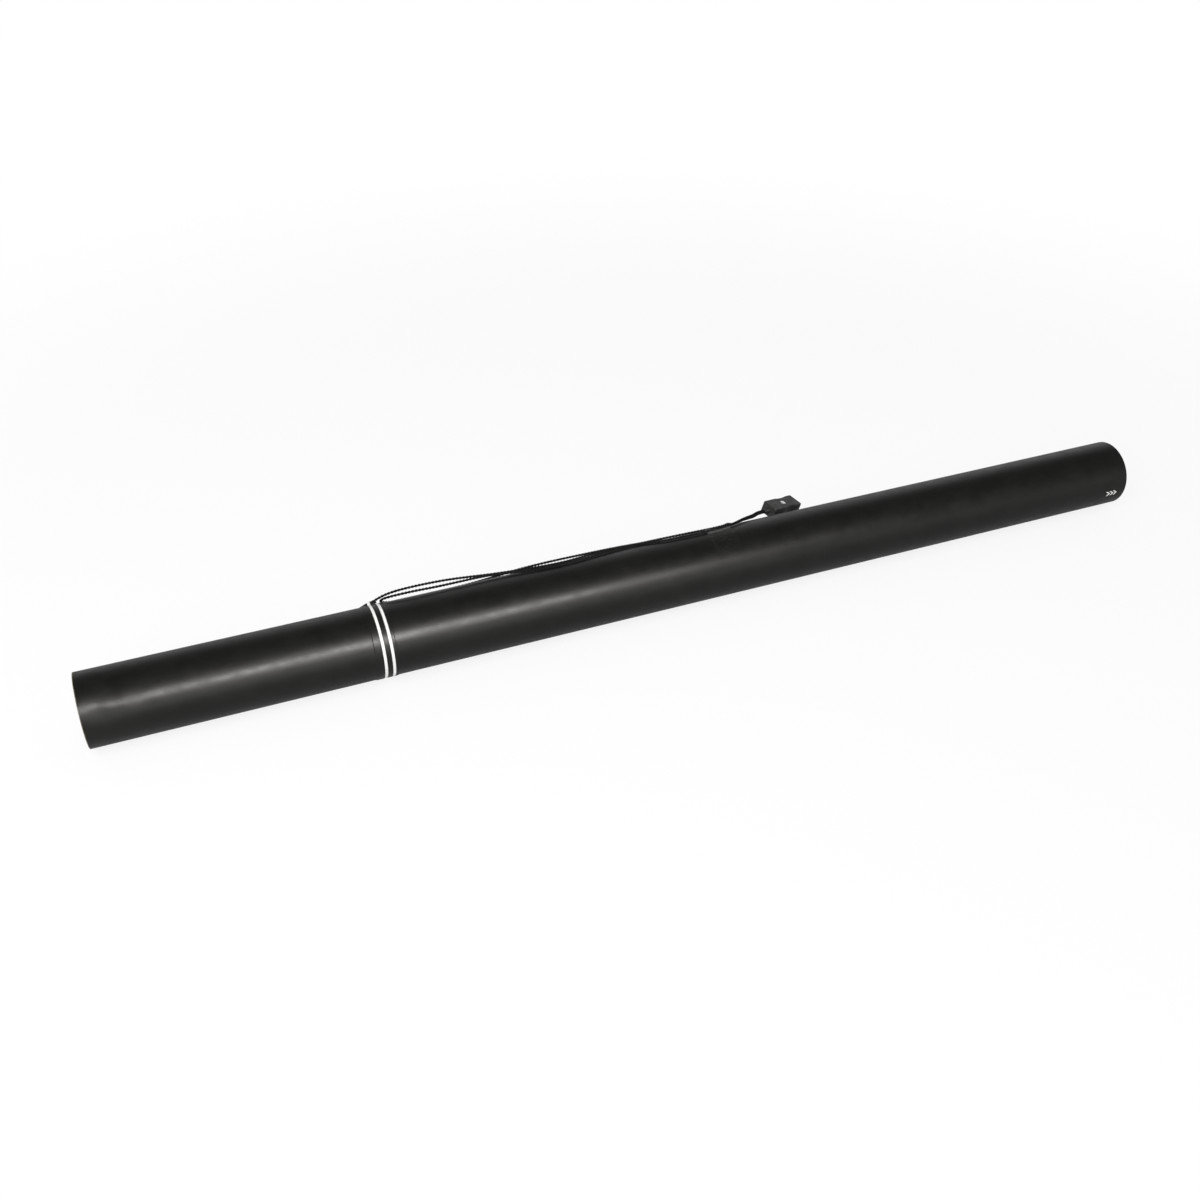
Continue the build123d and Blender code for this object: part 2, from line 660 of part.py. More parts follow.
# Firing board on the bulkhead's posts, its screws and the heater that melts the tie
strip_length = 2 * (POST_OFFSET + POST_RADIUS)
with BuildPart() as firing_board:
    with BuildSketch(station(POST_END)):
        RectangleRounded(strip_length, BOARD_STRIP_WIDTH, BOARD_STRIP_WIDTH / 4)
        with Locations((POST_OFFSET, 0), (-POST_OFFSET, 0)):
            Circle(BOARD_SCREW_RADIUS + GLUE_GAP, mode=Mode.SUBTRACT)
    extrude(amount=BOARD_STRIP_THICKNESS)
save(firing_board, "firing_board")

with BuildPart() as board_screws:
    with BuildSketch(station(STRIP_END)):
        with Locations((POST_OFFSET, 0), (-POST_OFFSET, 0)):
            Circle(BOARD_SCREW_HEAD_RADIUS)
    extrude(amount=BOARD_SCREW_HEAD_LENGTH)
    with BuildSketch(station(POST_END - BOARD_SCREW_DEPTH)):
        with Locations((POST_OFFSET, 0), (-POST_OFFSET, 0)):
            Circle(BOARD_SCREW_RADIUS)
    extrude(amount=BOARD_SCREW_DEPTH + BOARD_STRIP_THICKNESS)
save(board_screws, "board_screws")

with BuildPart() as heater:
    with BuildSketch(AXIAL):
        with Locations((HEATER_ALONG, 0)):
            Circle(HEATER_RADIUS)
    extrude(amount=HEATER_LENGTH / 2, both=True)
    fillet(heater.edges().filter_by(GeomType.CIRCLE), HEATER_RADIUS / 3)
    foot = HEATER_LENGTH / 2 + HEATER_LEAD_REACH
    heater_top = Plane(origin=(BASE_END + HEATER_ALONG, 0, AXIS_HEIGHT), x_dir=(0, 1, 0), z_dir=(0, 0, 1))
    for side in (1, -1):
        with BuildLine(heater_top) as wire:
            FilletPolyline(
                (side * HEATER_LENGTH / 3, 0),
                (side * foot, 0),
                (side * foot, HEATER_LIFT),
                radius=HEATER_LEAD_BEND,
            )
        with BuildSketch(Plane(wire.line @ 0, z_dir=wire.line % 0)):
            Circle(HEATER_LEAD_RADIUS)
        sweep(path=wire.line)
save(heater, "heater")

# Sleeve that joins the two tubes, and the screen in its front end
with BuildPart() as joining_sleeve:
    with BuildSketch(station(SLEEVE_START)):
        Circle(GLUED_RADIUS)
        Circle(SLEEVE_BORE, mode=Mode.SUBTRACT)
    extrude(amount=SLEEVE_LENGTH)
    lead_slot()
save(joining_sleeve, "joining_sleeve")

with BuildPart() as gas_screen:
    with BuildSketch(station(SCREEN_START)):
        Circle(SLEEVE_BORE - GLUE_GAP)
        Circle(SCREEN_HOLE_RADIUS, mode=Mode.SUBTRACT)
        with PolarLocations(SCREEN_HOLE_CIRCLE, SCREEN_HOLES):
            Circle(SCREEN_HOLE_RADIUS, mode=Mode.SUBTRACT)
    extrude(amount=SCREEN_THICKNESS)
save(gas_screen, "gas_screen")

# Wad, confetti, pad and mouth disc: what the gas drives out of the barrel
with BuildPart() as wad:
    with BuildSketch(station(WAD_START)):
        Circle(CHARGE_RADIUS)
    extrude(amount=WAD_LENGTH)
    chamfer(wad.edges().filter_by(GeomType.CIRCLE), WAD_CHAMFER)
save(wad, "wad")

stack_reach = sqrt(CHARGE_RADIUS**2 - (SLIP_WIDTH / 2) ** 2)
side_inner = SLIP_WIDTH / 2 + LAYER_GAP
for layer in range(LAYERS):
    with BuildPart() as confetti:
        with BuildSketch(station(LAYERS_START + layer * LAYER_PITCH)):
            Rectangle(SLIP_WIDTH, 2 * stack_reach)
            for side in (1, -1):
                with Locations((side * (side_inner + stack_reach) / 2, 0)):
                    Rectangle(stack_reach - side_inner, SLIP_WIDTH)
        extrude(amount=SLIP_LENGTH)
    save(confetti, f"confetti_layer_{layer + 1}")

with BuildPart() as top_pad:
    with BuildSketch(station(PAD_START)):
        Circle(CHARGE_RADIUS)
    extrude(amount=PAD_LENGTH)
    chamfer(top_pad.edges().filter_by(GeomType.CIRCLE), PAD_CHAMFER)
save(top_pad, "top_pad")

with BuildPart() as mouth_disc:
    with BuildSketch(station(MOUTH_DISC_START)):
        Circle(CHARGE_RADIUS)
    extrude(amount=MOUTH_DISC_THICKNESS)
save(mouth_disc, "mouth_disc")

# Connector: two shells, its screw, contacts and boot, leaning on the tube's far shoulder
nose = Vector(1, 0, 0).rotate(Axis.Y, CONNECTOR_DIP).rotate(Axis.Z, CONNECTOR_TURN)
roof = Vector(0, 0, 1).rotate(Axis.X, CONNECTOR_ROLL)
roof = roof.rotate(Axis.Y, CONNECTOR_DIP).rotate(Axis.Z, CONNECTOR_TURN)
CONNECTOR = Plane(
    origin=on_tube(CONNECTOR_ALONG, CONNECTOR_AROUND, CONNECTOR_LIFT),
    x_dir=nose,
    z_dir=roof,
)
CONNECTOR_NOSE = Plane(
    origin=CONNECTOR.from_local_coords(Vector(CONNECTOR_LENGTH, 0, 0)),
    x_dir=CONNECTOR.y_dir,
    z_dir=nose,
)
half_height = CONNECTOR_HEIGHT / 2
grip_radius = (GRIP_LENGTH**2 / 4 + GRIP_DEPTH**2) / (2 * GRIP_DEPTH)
grip_middle = CONNECTOR_LENGTH / 2 + GRIP_FORWARD
contact_start = CONNECTOR_LENGTH - CONTACT_RECESS - CONTACT_LENGTH
cavity_length = contact_start + CONTACT_BORE - CONNECTOR_WALL
screw_place = CONNECTOR_LENGTH / 2


def connector_shell(side):
    """One half of the connector's case, above (1) or below (-1) its parting plane."""
    with BuildPart() as shell:
        with BuildSketch(CONNECTOR):
            with Locations((CONNECTOR_LENGTH / 2, 0)):
                RectangleRounded(CONNECTOR_LENGTH, CONNECTOR_WIDTH, CONNECTOR_CORNER)
            for flank in (1, -1):
                with Locations((grip_middle, flank * (CONNECTOR_WIDTH / 2 - GRIP_DEPTH + grip_radius))):
                    Circle(grip_radius, mode=Mode.SUBTRACT)
        extrude(amount=side * half_height)
        outer_face = shell.faces().sort_by(Axis(CONNECTOR.origin, roof))[-1 if side > 0 else 0]
        fillet(outer_face.edges(), CONNECTOR_EDGE)
        with BuildSketch(CONNECTOR):
            with Locations((CONNECTOR_WALL + cavity_length / 2, 0)):
                Rectangle(cavity_length, CONNECTOR_WIDTH - 2 * CONNECTOR_WALL - 2 * GRIP_DEPTH)
        extrude(amount=side * (half_height - CONNECTOR_WALL), mode=Mode.SUBTRACT)
        with BuildSketch(CONNECTOR):
            with Locations((screw_place, 0)):
                Circle(BOSS_RADIUS)
        extrude(amount=side * half_height)
        with BuildSketch(CONNECTOR_NOSE):
            with Locations((CONTACT_SPREAD, 0), (-CONTACT_SPREAD, 0)):
                Circle(CONTACT_RADIUS + GLUE_GAP)
        extrude(amount=-(CONTACT_LENGTH + CONTACT_RECESS), mode=Mode.SUBTRACT)
        if side > 0:
            with BuildSketch(CONNECTOR.offset(half_height)):
                with Locations((screw_place, 0)):
                    Circle(SCREW_HEAD_RADIUS + GLUE_GAP)
            extrude(amount=-SCREW_HEAD_LENGTH, mode=Mode.SUBTRACT)
        with BuildSketch(CONNECTOR.offset(half_height)):
            with Locations((screw_place, 0)):
                Circle(SCREW_SHANK_RADIUS + GLUE_GAP)
        extrude(amount=-(SCREW_HEAD_LENGTH + SCREW_DEPTH), mode=Mode.SUBTRACT)
    return shell


save(connector_shell(1), "connector_cover")
save(connector_shell(-1), "connector_body")

with BuildPart() as connector_screw:
    with BuildSketch(CONNECTOR.offset(half_height - SCREW_HEAD_LENGTH)):
        with Locations((screw_place, 0)):
            Circle(SCREW_HEAD_RADIUS)
    extrude(amount=SCREW_HEAD_LENGTH)
    with BuildSketch(CONNECTOR.offset(half_height)):
        with Locations((screw_place, 0)):
            Rectangle(2 * SCREW_HEAD_RADIUS, SCREW_SLOT_WIDTH)
    extrude(amount=-SCREW_SLOT_DEPTH, mode=Mode.SUBTRACT)
    with BuildSketch(CONNECTOR.offset(half_height - SCREW_HEAD_LENGTH)):
        with Locations((screw_place, 0)):
            Circle(SCREW_SHANK_RADIUS)
    extrude(amount=-SCREW_DEPTH)
save(connector_screw, "connector_screw")

with BuildPart() as connector_contacts:
    with BuildSketch(CONNECTOR_NOSE.offset(-CONTACT_RECESS)):
        with Locations((CONTACT_SPREAD, 0), (-CONTACT_SPREAD, 0)):
            Circle(CONTACT_RADIUS)
            Circle(CONTACT_BORE, mode=Mode.SUBTRACT)
    extrude(amount=-CONTACT_LENGTH)
save(connector_contacts, "connector_contacts")

boot_plane = Plane(origin=CONNECTOR.from_local_coords(Vector(-BOOT_LENGTH, 0, 0)), z_dir=nose)
with BuildPart() as connector_boot:
    with BuildSketch(boot_plane):
        Circle(BOOT_TIP_RADIUS)
    with BuildSketch(boot_plane.offset(BOOT_LENGTH)):
        Circle(BOOT_RADIUS)
    loft()
save(connector_boot, "connector_boot")


def lead_tube(points):
    """Tube along straight runs joined by the largest arcs that the runs allow, and its path."""
    radii = []
    for before, corner, after in zip(points, points[1:], points[2:]):
        turn = radians((corner - before).get_angle(after - corner))
        shorter = min((corner - before).length, (after - corner).length)
        radii.append(RADIUS_SHARE * shorter / tan(turn / 2))
    with BuildPart() as tube:
        with BuildLine():
            route = FilletPolyline(*points, radius=radii)
        with BuildSketch(Plane(route @ 0, z_dir=route % 0)):
            Circle(LEAD_RADIUS)
        sweep()
    return tube, route, radii


def least_gap(path):
    """Least gap of a tube to itself, from points along its path that aren't neighbours."""
    step = LEAD_RADIUS
    count = int(path.length / step)
    spots = [path @ (n / count) for n in range(count + 1)]
    apart = int(4 * LEAD_DIAMETER / step)
    least = path.length
    for n, spot in enumerate(spots):
        for other in spots[n + apart:]:
            least = min(least, (spot - other).length)
    return least - LEAD_DIAMETER


# Lead inside the tube, from the firing board to the blister's mouth
board_side = POST_OFFSET / 2
lead_rest = STRIP_END + LEAD_RADIUS + GLUE_GAP
inner_points = [
    Vector(BASE_END + lead_rest, board_side, AXIS_HEIGHT - BOARD_STRIP_WIDTH / 3),
    Vector(BASE_END + lead_rest + LEAD_RADIUS, board_side + LEAD_RADIUS, AXIS_HEIGHT + BOARD_STRIP_WIDTH),
    exit_point - exit_direction * EXIT_TUNNEL,
    exit_point,
]
inner_lead, inner_path, inner_radii = lead_tube(inner_points)
save(inner_lead, "inner_lead")

# Free lead: out of the blister, along the tube three times, and into the connector's boot
lead_end = CONNECTOR.from_local_coords(Vector(-BOOT_LENGTH, 0, 0))
lead_points = [exit_point, exit_point + exit_direction * EXIT_RUN]
lead_points += [on_tube(BASE_LENGTH + ahead, around, lift) for ahead, around, lift in LEAD_ROUTE]
lead_points += [lead_end - nose * LEAD_STRAIGHT, lead_end]
firing_lead, lead_path, lead_radii = lead_tube(lead_points)
save(firing_lead, "firing_lead")

print("lead radii", [round(radius, 1) for radius in lead_radii], "least", round(min(lead_radii), 2))
print("inner lead radii", [round(radius, 1) for radius in inner_radii])
print("lead length", round(lead_path.length, 1), "least gap to itself", round(least_gap(lead_path), 2))
section = Circle(LEAD_RADIUS, mode=Mode.PRIVATE).area
print("lead volume over section times length", round(firing_lead.part.volume / (section * lead_path.length), 4))

# Clear tape over the lead's runs: an inner and an outer line with the film between
over_lead = TUBE_RADIUS + 2 * LEAD_RADIUS + TAPE_CLEAR
front_low, front_high = TAPED_FRONT
back_low, back_high = TAPED_BACK
front_end = (TAPE_FRONT_AROUND, front_low - TAPE_LEAN)
middle = (front_high + TAPE_LEAN, back_low - TAPE_LEAN)
back_end = (back_high + TAPE_LEAN, TAPE_BACK_AROUND)
with BuildPart() as lead_tape:
    with BuildSketch(station(TAPE_START)):
        with BuildLine():
            for thickness in (0, TAPE_THICKNESS):
                low = TUBE_RADIUS + thickness
                high = over_lead + thickness
                for begin, end in (front_end, middle, back_end):
                    ThreePointArc(polar(low, begin), polar(low, (begin + end) / 2), polar(low, end))
                for foot, first, last, far_foot in (
                    (front_end[1], front_low, front_high, middle[0]),
                    (middle[1], back_low, back_high, back_end[0]),
                ):
                    Polyline(polar(low, foot), polar(high, first), polar(high, last), polar(low, far_foot))
            for around in (TAPE_FRONT_AROUND, TAPE_BACK_AROUND):
                Line(polar(TUBE_RADIUS, around), polar(TUBE_RADIUS + TAPE_THICKNESS, around))
        make_face()
    extrude(amount=TAPE_WIDTH)
save(lead_tape, "lead_tape")
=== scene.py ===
"""Looks of the electrically fired confetti cannon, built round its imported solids.

Metres. The tube lies along X with its base at -X and its mouth at +X, on the floor. Places along it are
measured from its base end, angles round it from the top, turning to the far side, +Y.
"""
import logging
import math
from dataclasses import dataclass, field, replace
from enum import Enum
from functools import wraps
from typing import Callable, Mapping, Optional, Sequence, Union

import bmesh
import bpy
import numpy as np
from mathutils import Euler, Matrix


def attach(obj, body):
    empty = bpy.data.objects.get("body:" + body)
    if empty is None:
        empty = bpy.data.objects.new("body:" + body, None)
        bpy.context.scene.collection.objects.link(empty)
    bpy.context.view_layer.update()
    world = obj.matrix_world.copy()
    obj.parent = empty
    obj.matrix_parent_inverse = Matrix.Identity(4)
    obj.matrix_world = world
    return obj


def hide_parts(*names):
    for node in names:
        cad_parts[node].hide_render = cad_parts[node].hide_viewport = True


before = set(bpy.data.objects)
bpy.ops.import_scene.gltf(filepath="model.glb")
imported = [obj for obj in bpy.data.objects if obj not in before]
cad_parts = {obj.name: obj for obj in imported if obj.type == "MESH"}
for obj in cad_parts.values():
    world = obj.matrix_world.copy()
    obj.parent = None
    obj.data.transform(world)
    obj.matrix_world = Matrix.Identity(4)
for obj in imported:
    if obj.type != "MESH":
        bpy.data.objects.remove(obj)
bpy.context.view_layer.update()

log = logging.getLogger("confetti_cannon")

Colour = tuple[float, float, float]
Place = tuple[float, float, float]
Span = tuple[float, float]
Socket = bpy.types.NodeSocket
Sockets = Mapping[str, Socket]
Value = Union[float, Socket]
Look = tuple[Socket, Socket, Socket]

# Points that are closer than this become one.
WELD = 1e-7

WHITE: Colour = (1.0, 1.0, 1.0)


class Body(Enum):
    """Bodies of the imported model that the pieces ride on."""

    TUBE = "tube"
    CHARGE = "charge"


@dataclass(frozen=True)
class TubeAxis:
    """The line that everything in the cannon is placed from.

    Attributes:
        base: x of the base end.
        height: height of the tube's axis over the floor.
    """

    base: float = -0.4
    height: float = 0.02535

    def points(self, along: np.ndarray, around: np.ndarray, radius: np.ndarray) -> np.ndarray:
        """Points from places in the tube's own coordinates.

        x is the base plus the place along, y the radius times the sine of the angle from the top, and z the
        axis height plus the radius times its cosine.

        Args:
            along: distance from the base end.
            around: angle from the top, in radians, towards the far side.
            radius: distance from the axis.

        Returns:
            Array of the three inputs' common shape with x, y and z as its last axis.
        """
        along, around, radius = np.broadcast_arrays(along, around, radius)
        y = radius * np.sin(around)
        z = self.height + radius * np.cos(around)
        return np.stack([self.base + along, y, z], axis=-1)

    def places(self, points: np.ndarray) -> tuple[np.ndarray, np.ndarray, np.ndarray]:
        """Tube coordinates of points: the inverse of points().

        Args:
            points: array with x, y and z as its last axis.

        Returns:
            Distance along, angle around and radius.
        """
        up = points[..., 2] - self.height
        return points[..., 0] - self.base, np.arctan2(points[..., 1], up), np.hypot(points[..., 1], up)


AXIS = TubeAxis()


def grid_faces(rows: int, columns: int, closed_rows: bool, closed_columns: bool) -> np.ndarray:
    """Quads between neighbours of a grid of points that is stored row by row.

    Args:
        rows: number of rows.
        columns: number of points in a row.
        closed_rows: whether the last row joins the first.
        closed_columns: whether each row's last point joins its first.

    Returns:
        Array of four point numbers a face.
    """
    row = np.arange(rows if closed_rows else rows - 1)
    column = np.arange(columns if closed_columns else columns - 1)
    row, column = np.meshgrid(row, column, indexing="ij")
    below = (row + 1) % rows
    right = (column + 1) % columns
    here = row * columns
    under = below * columns
    corners = [here + column, here + right, under + right, under + column]
    return np.stack(corners, axis=-1).reshape(-1, 4)


def make_piece(name: str, points: np.ndarray, faces: list, sharp: float = 38.0) -> bpy.types.Object:
    """Mesh object at the origin from points and faces, with doubles merged and all faces turned outwards.

    Args:
        name: the piece's name.
        points: array with x, y and z as its last axis.
        faces: lists of point numbers.
        sharp: edges that bend more than this many degrees stay crisp.

    Returns:
        The new object, linked to the scene.
    """
    mesh = bpy.data.meshes.new(name)
    mesh.from_pydata(points.reshape(-1, 3).tolist(), [], faces)
    work = bmesh.new()
    work.from_mesh(mesh)
    bmesh.ops.remove_doubles(work, verts=work.verts, dist=WELD)
    bmesh.ops.delete(work, geom=[edge for edge in work.edges if not edge.link_faces], context="EDGES")
    bmesh.ops.recalc_face_normals(work, faces=work.faces)
    work.to_mesh(mesh)
    work.free()
    mesh.shade_smooth()
    mesh.set_sharp_from_angle(angle=math.radians(sharp))
    piece = bpy.data.objects.new(name, mesh)
    bpy.context.scene.collection.objects.link(piece)
    return piece


def rounded(
    corners: Sequence[tuple[float, float]], radius: Union[float, np.ndarray], steps: int = 5
) -> np.ndarray:
    """Closed outline with every corner eased.

    Each corner becomes a parabola from a point one radius before it to a point one radius after it, with the
    corner as its control point.

    Args:
        corners: the outline's corners in order.
        radius: how far from the corner the easing starts, one for all or a column of one each.
        steps: points of each easing.

    Returns:
        Array of the eased outline's points.
    """
    corner = np.asarray(corners, float)
    to_last = np.roll(corner, 1, axis=0) - corner
    to_next = np.roll(corner, -1, axis=0) - corner
    last_length = np.linalg.norm(to_last, axis=1, keepdims=True)
    next_length = np.linalg.norm(to_next, axis=1, keepdims=True)
    start = corner + to_last / last_length * np.minimum(radius, last_length / 2)
    end = corner + to_next / next_length * np.minimum(radius, next_length / 2)
    t = np.linspace(0.0, 1.0, steps)[None, :, None]
    eased = (1 - t) ** 2 * start[:, None] + 2 * t * (1 - t) * corner[:, None] + t**2 * end[:, None]
    return eased.reshape(-1, 2)


def stationed(outline: np.ndarray, margin: float = 0.0004, gap: float = 0.02) -> np.ndarray:
    """Closed outline with more points on its long sides, so that smooth shading stays true up to their ends.

    A side longer than four margins gets a point one margin from either end and equal steps between the two.

    Args:
        outline: the outline's points in order.
        margin: distance of the first and last new point from a side's ends.
        gap: longest step between new points.

    Returns:
        Array of the old and the new points.
    """
    rows = []
    for start, end in zip(outline, np.roll(outline, -1, axis=0)):
        rows.append(start)
        length = float(np.linalg.norm(end - start))
        if length > 4 * margin:
            steps = math.ceil((length - 2 * margin) / gap) + 1
            share = np.linspace(margin / length, 1 - margin / length, steps)
            rows.extend(start + (end - start) * share[:, None])
    return np.array(rows)


def lathe(name: str, outline: np.ndarray, turns: int = 192) -> bpy.types.Object:
    """Solid of revolution about the tube's axis.

    Each point of the closed outline, a place along and a radius, is carried round the axis in equal steps.

    Args:
        name: the piece's name.
        outline: array of (along, radius).
        turns: steps round the axis.

    Returns:
        The new object.
    """
    outline = stationed(outline)
    around = np.linspace(0.0, 2 * np.pi, turns, endpoint=False)
    points = AXIS.points(outline[:, :1], around[None, :], outline[:, 1:])
    return make_piece(name, points, grid_faces(len(outline), turns, True, True).tolist())


def tube_wall(run: Span, radii: Span, eases: Span) -> np.ndarray:
    """Outline of a plain wall round the axis.

    Args:
        run: where it starts and ends.
        radii: its inside and outside.
        eases: easing of its rim at the start and at the end.

    Returns:
        Array of (along, radius).
    """
    corners = [(run[0], radii[1]), (run[1], radii[1]), (run[1], radii[0]), (run[0], radii[0])]
    return rounded(corners, np.array([eases[0], eases[1], eases[1], eases[0]])[:, None])


def resampled(points: np.ndarray, step: float) -> np.ndarray:
    """Points at equal distances along a line.

    Args:
        points: the line's points.
        step: about how far apart the new points are.

    Returns:
        Array of the new points, both ends among them.
    """
    gaps = np.linalg.norm(np.diff(points, axis=0), axis=1)
    way = np.concatenate([[0.0], np.cumsum(gaps)])
    count = max(2, int(round(way[-1] / step)))
    spots = np.linspace(0.0, way[-1], count + 1)
    return np.stack([np.interp(spots, way, points[:, axis]) for axis in range(3)], axis=-1)


def unit(vectors: np.ndarray) -> np.ndarray:
    """Vectors scaled to length one along the last axis."""
    return vectors / np.linalg.norm(vectors, axis=-1, keepdims=True)


def outward_frames(line: np.ndarray) -> tuple[np.ndarray, np.ndarray, np.ndarray]:
    """Direction of a line at its points, the way out of the tube square to it, and the way across.

    Args:
        line: points of a line that lies outside the tube.

    Returns:
        Three arrays of unit vectors.
    """
    ahead = unit(np.gradient(line, axis=0))
    out = line - np.array([0.0, 0.0, AXIS.height])
    out[:, 0] = 0.0
    out = unit(out - ahead * np.sum(out * ahead, axis=1, keepdims=True))
    return ahead, out, np.cross(ahead, out)


class Graph:
    """A node tree in the making, with short ways to add and join its nodes."""

    def __init__(self, tree: bpy.types.NodeTree) -> None:
        """Starts on an empty tree."""
        self.tree = tree

    def node(self, kind: str, values: Optional[dict] = None, **settings: object) -> bpy.types.Node:
        """Adds a node.

        Args:
            kind: the node's type.
            values: what its inputs get, by name or number: a socket to link, or a value.
            **settings: properties of the node.

        Returns:
            The new node.
        """
        made = self.tree.nodes.new(kind)
        for name, setting in settings.items():
            setattr(made, name, setting)
        for name, value in (values or {}).items():
            self.feed(made.inputs[name], value)
        return made

    def feed(self, socket: Socket, value: object) -> None:
        """Links a socket to an input, or sets the input's value.

        Args:
            socket: the input.
            value: the socket to link, a colour or a plain value.
        """
        if isinstance(value, bpy.types.NodeSocket):
            self.tree.links.new(value, socket)
        elif socket.type == "RGBA":
            socket.default_value = (*value, 1.0)
        else:
            socket.default_value = value

    def math(self, operation: str, first: Value, second: Value = 0.0, third: Value = 0.0) -> Socket:
        """Result of a Math node."""
        return self.node("ShaderNodeMath", {0: first, 1: second, 2: third}, operation=operation).outputs[0]

    def plus(self, first: Value, second: Value) -> Socket:
        """Sum of two values."""
        return self.math("ADD", first, second)

    def less(self, first: Value, second: Value) -> Socket:
        """First value less the second."""
        return self.math("SUBTRACT", first, second)

    def times(self, first: Value, second: Value) -> Socket:
        """Product of two values."""
        return self.math("MULTIPLY", first, second)

    def diagonal(self, first: Value, second: Value) -> Socket:
        """Root of the sum of two values' squares."""
        return self.math("SQRT", self.plus(self.math("POWER", first, 2.0), self.math("POWER", second, 2.0)))

    def axes(self, place: Socket) -> Sockets:
        """X, Y and Z of a place."""
        return self.node("ShaderNodeSeparateXYZ", {0: place}).outputs

    def blend(self, share: Value, low: object, high: object) -> Socket:
        """Colour between two colours."""
        return self.node("ShaderNodeMix", {0: share, 6: low, 7: high}, data_type="RGBA").outputs[2]

    def span(self, value: Socket, start: float, end: float, low: float = 0.0, high: float = 1.0) -> Socket:
        """Smooth step of a value from low at start to high at end."""
        values = {"Value": value, "From Min": start, "From Max": end, "To Min": low, "To Max": high}
        return self.node("ShaderNodeMapRange", values, interpolation_type="SMOOTHSTEP").outputs["Result"]

    def band(self, value: Socket, start: float, end: float, soft: float) -> Socket:
        """One between two values, zero outside, with soft edges."""
        rise = self.span(value, start - soft, start + soft)
        return self.times(rise, self.span(value, end - soft, end + soft, 1.0, 0.0))

    def noise(self, place: Socket, scale: Value, detail: float = 3.0, rough: float = 0.55) -> Socket:
        """Noise at a place, from about 0.25 to 0.75."""
        values = {"Vector": place, "Scale": scale, "Detail": detail, "Roughness": rough}
        return self.node("ShaderNodeTexNoise", values).outputs["Fac"]

    def stretched(self, place: Socket, scale: Colour) -> Socket:
        """Place with each axis scaled, for patterns that run one way."""
        return self.node("ShaderNodeMapping", {"Vector": place, "Scale": scale}).outputs[0]

    def group(self, tree: bpy.types.NodeTree, values: dict) -> Sockets:
        """Outputs of a shared node group, placed with these inputs."""
        return self.node("ShaderNodeGroup", values, node_tree=tree).outputs

    def spot(self, place: Socket) -> Sockets:
        """Distance along the tube, angle round it and radius of a place."""
        return self.group(Effects.tube_place(), {"Place": place})


def shared(name: str, inputs: dict[str, str], outputs: dict[str, str]) -> Callable:
    """Makes a function that draws an effect into one that gives the effect's node group.

    The group is drawn at the first call. Later calls give the same group.

    Args:
        name: the group's name.
        inputs: socket kinds by name.
        outputs: socket kinds by name.

    Returns:
        The decorator. The function under it gets the group's graph and its inputs, and returns what goes to
        each output.
    """

    def decorate(draw: Callable[[Graph, Sockets], dict[str, Socket]]) -> Callable[[], bpy.types.NodeTree]:
        """Wraps one drawing function.

        Args:
            draw: the function.

        Returns:
            A function that gives the group.
        """

        @wraps(draw)
        def group() -> bpy.types.NodeTree:
            """The group, from the last call or new.

            Returns:
                The node group.
            """
            known = bpy.data.node_groups.get(name)
            if known:
                return known
            tree = bpy.data.node_groups.new(name, "ShaderNodeTree")
            for side, sockets in (("INPUT", inputs), ("OUTPUT", outputs)):
                for socket, kind in sockets.items():
                    tree.interface.new_socket(name=socket, in_out=side, socket_type=f"NodeSocket{kind}")
            graph = Graph(tree)
            given = graph.node("NodeGroupInput").outputs
            end = graph.node("NodeGroupOutput").inputs
            for socket, value in draw(graph, given).items():
                graph.feed(end[socket], value)
            return tree

        return group

    return decorate


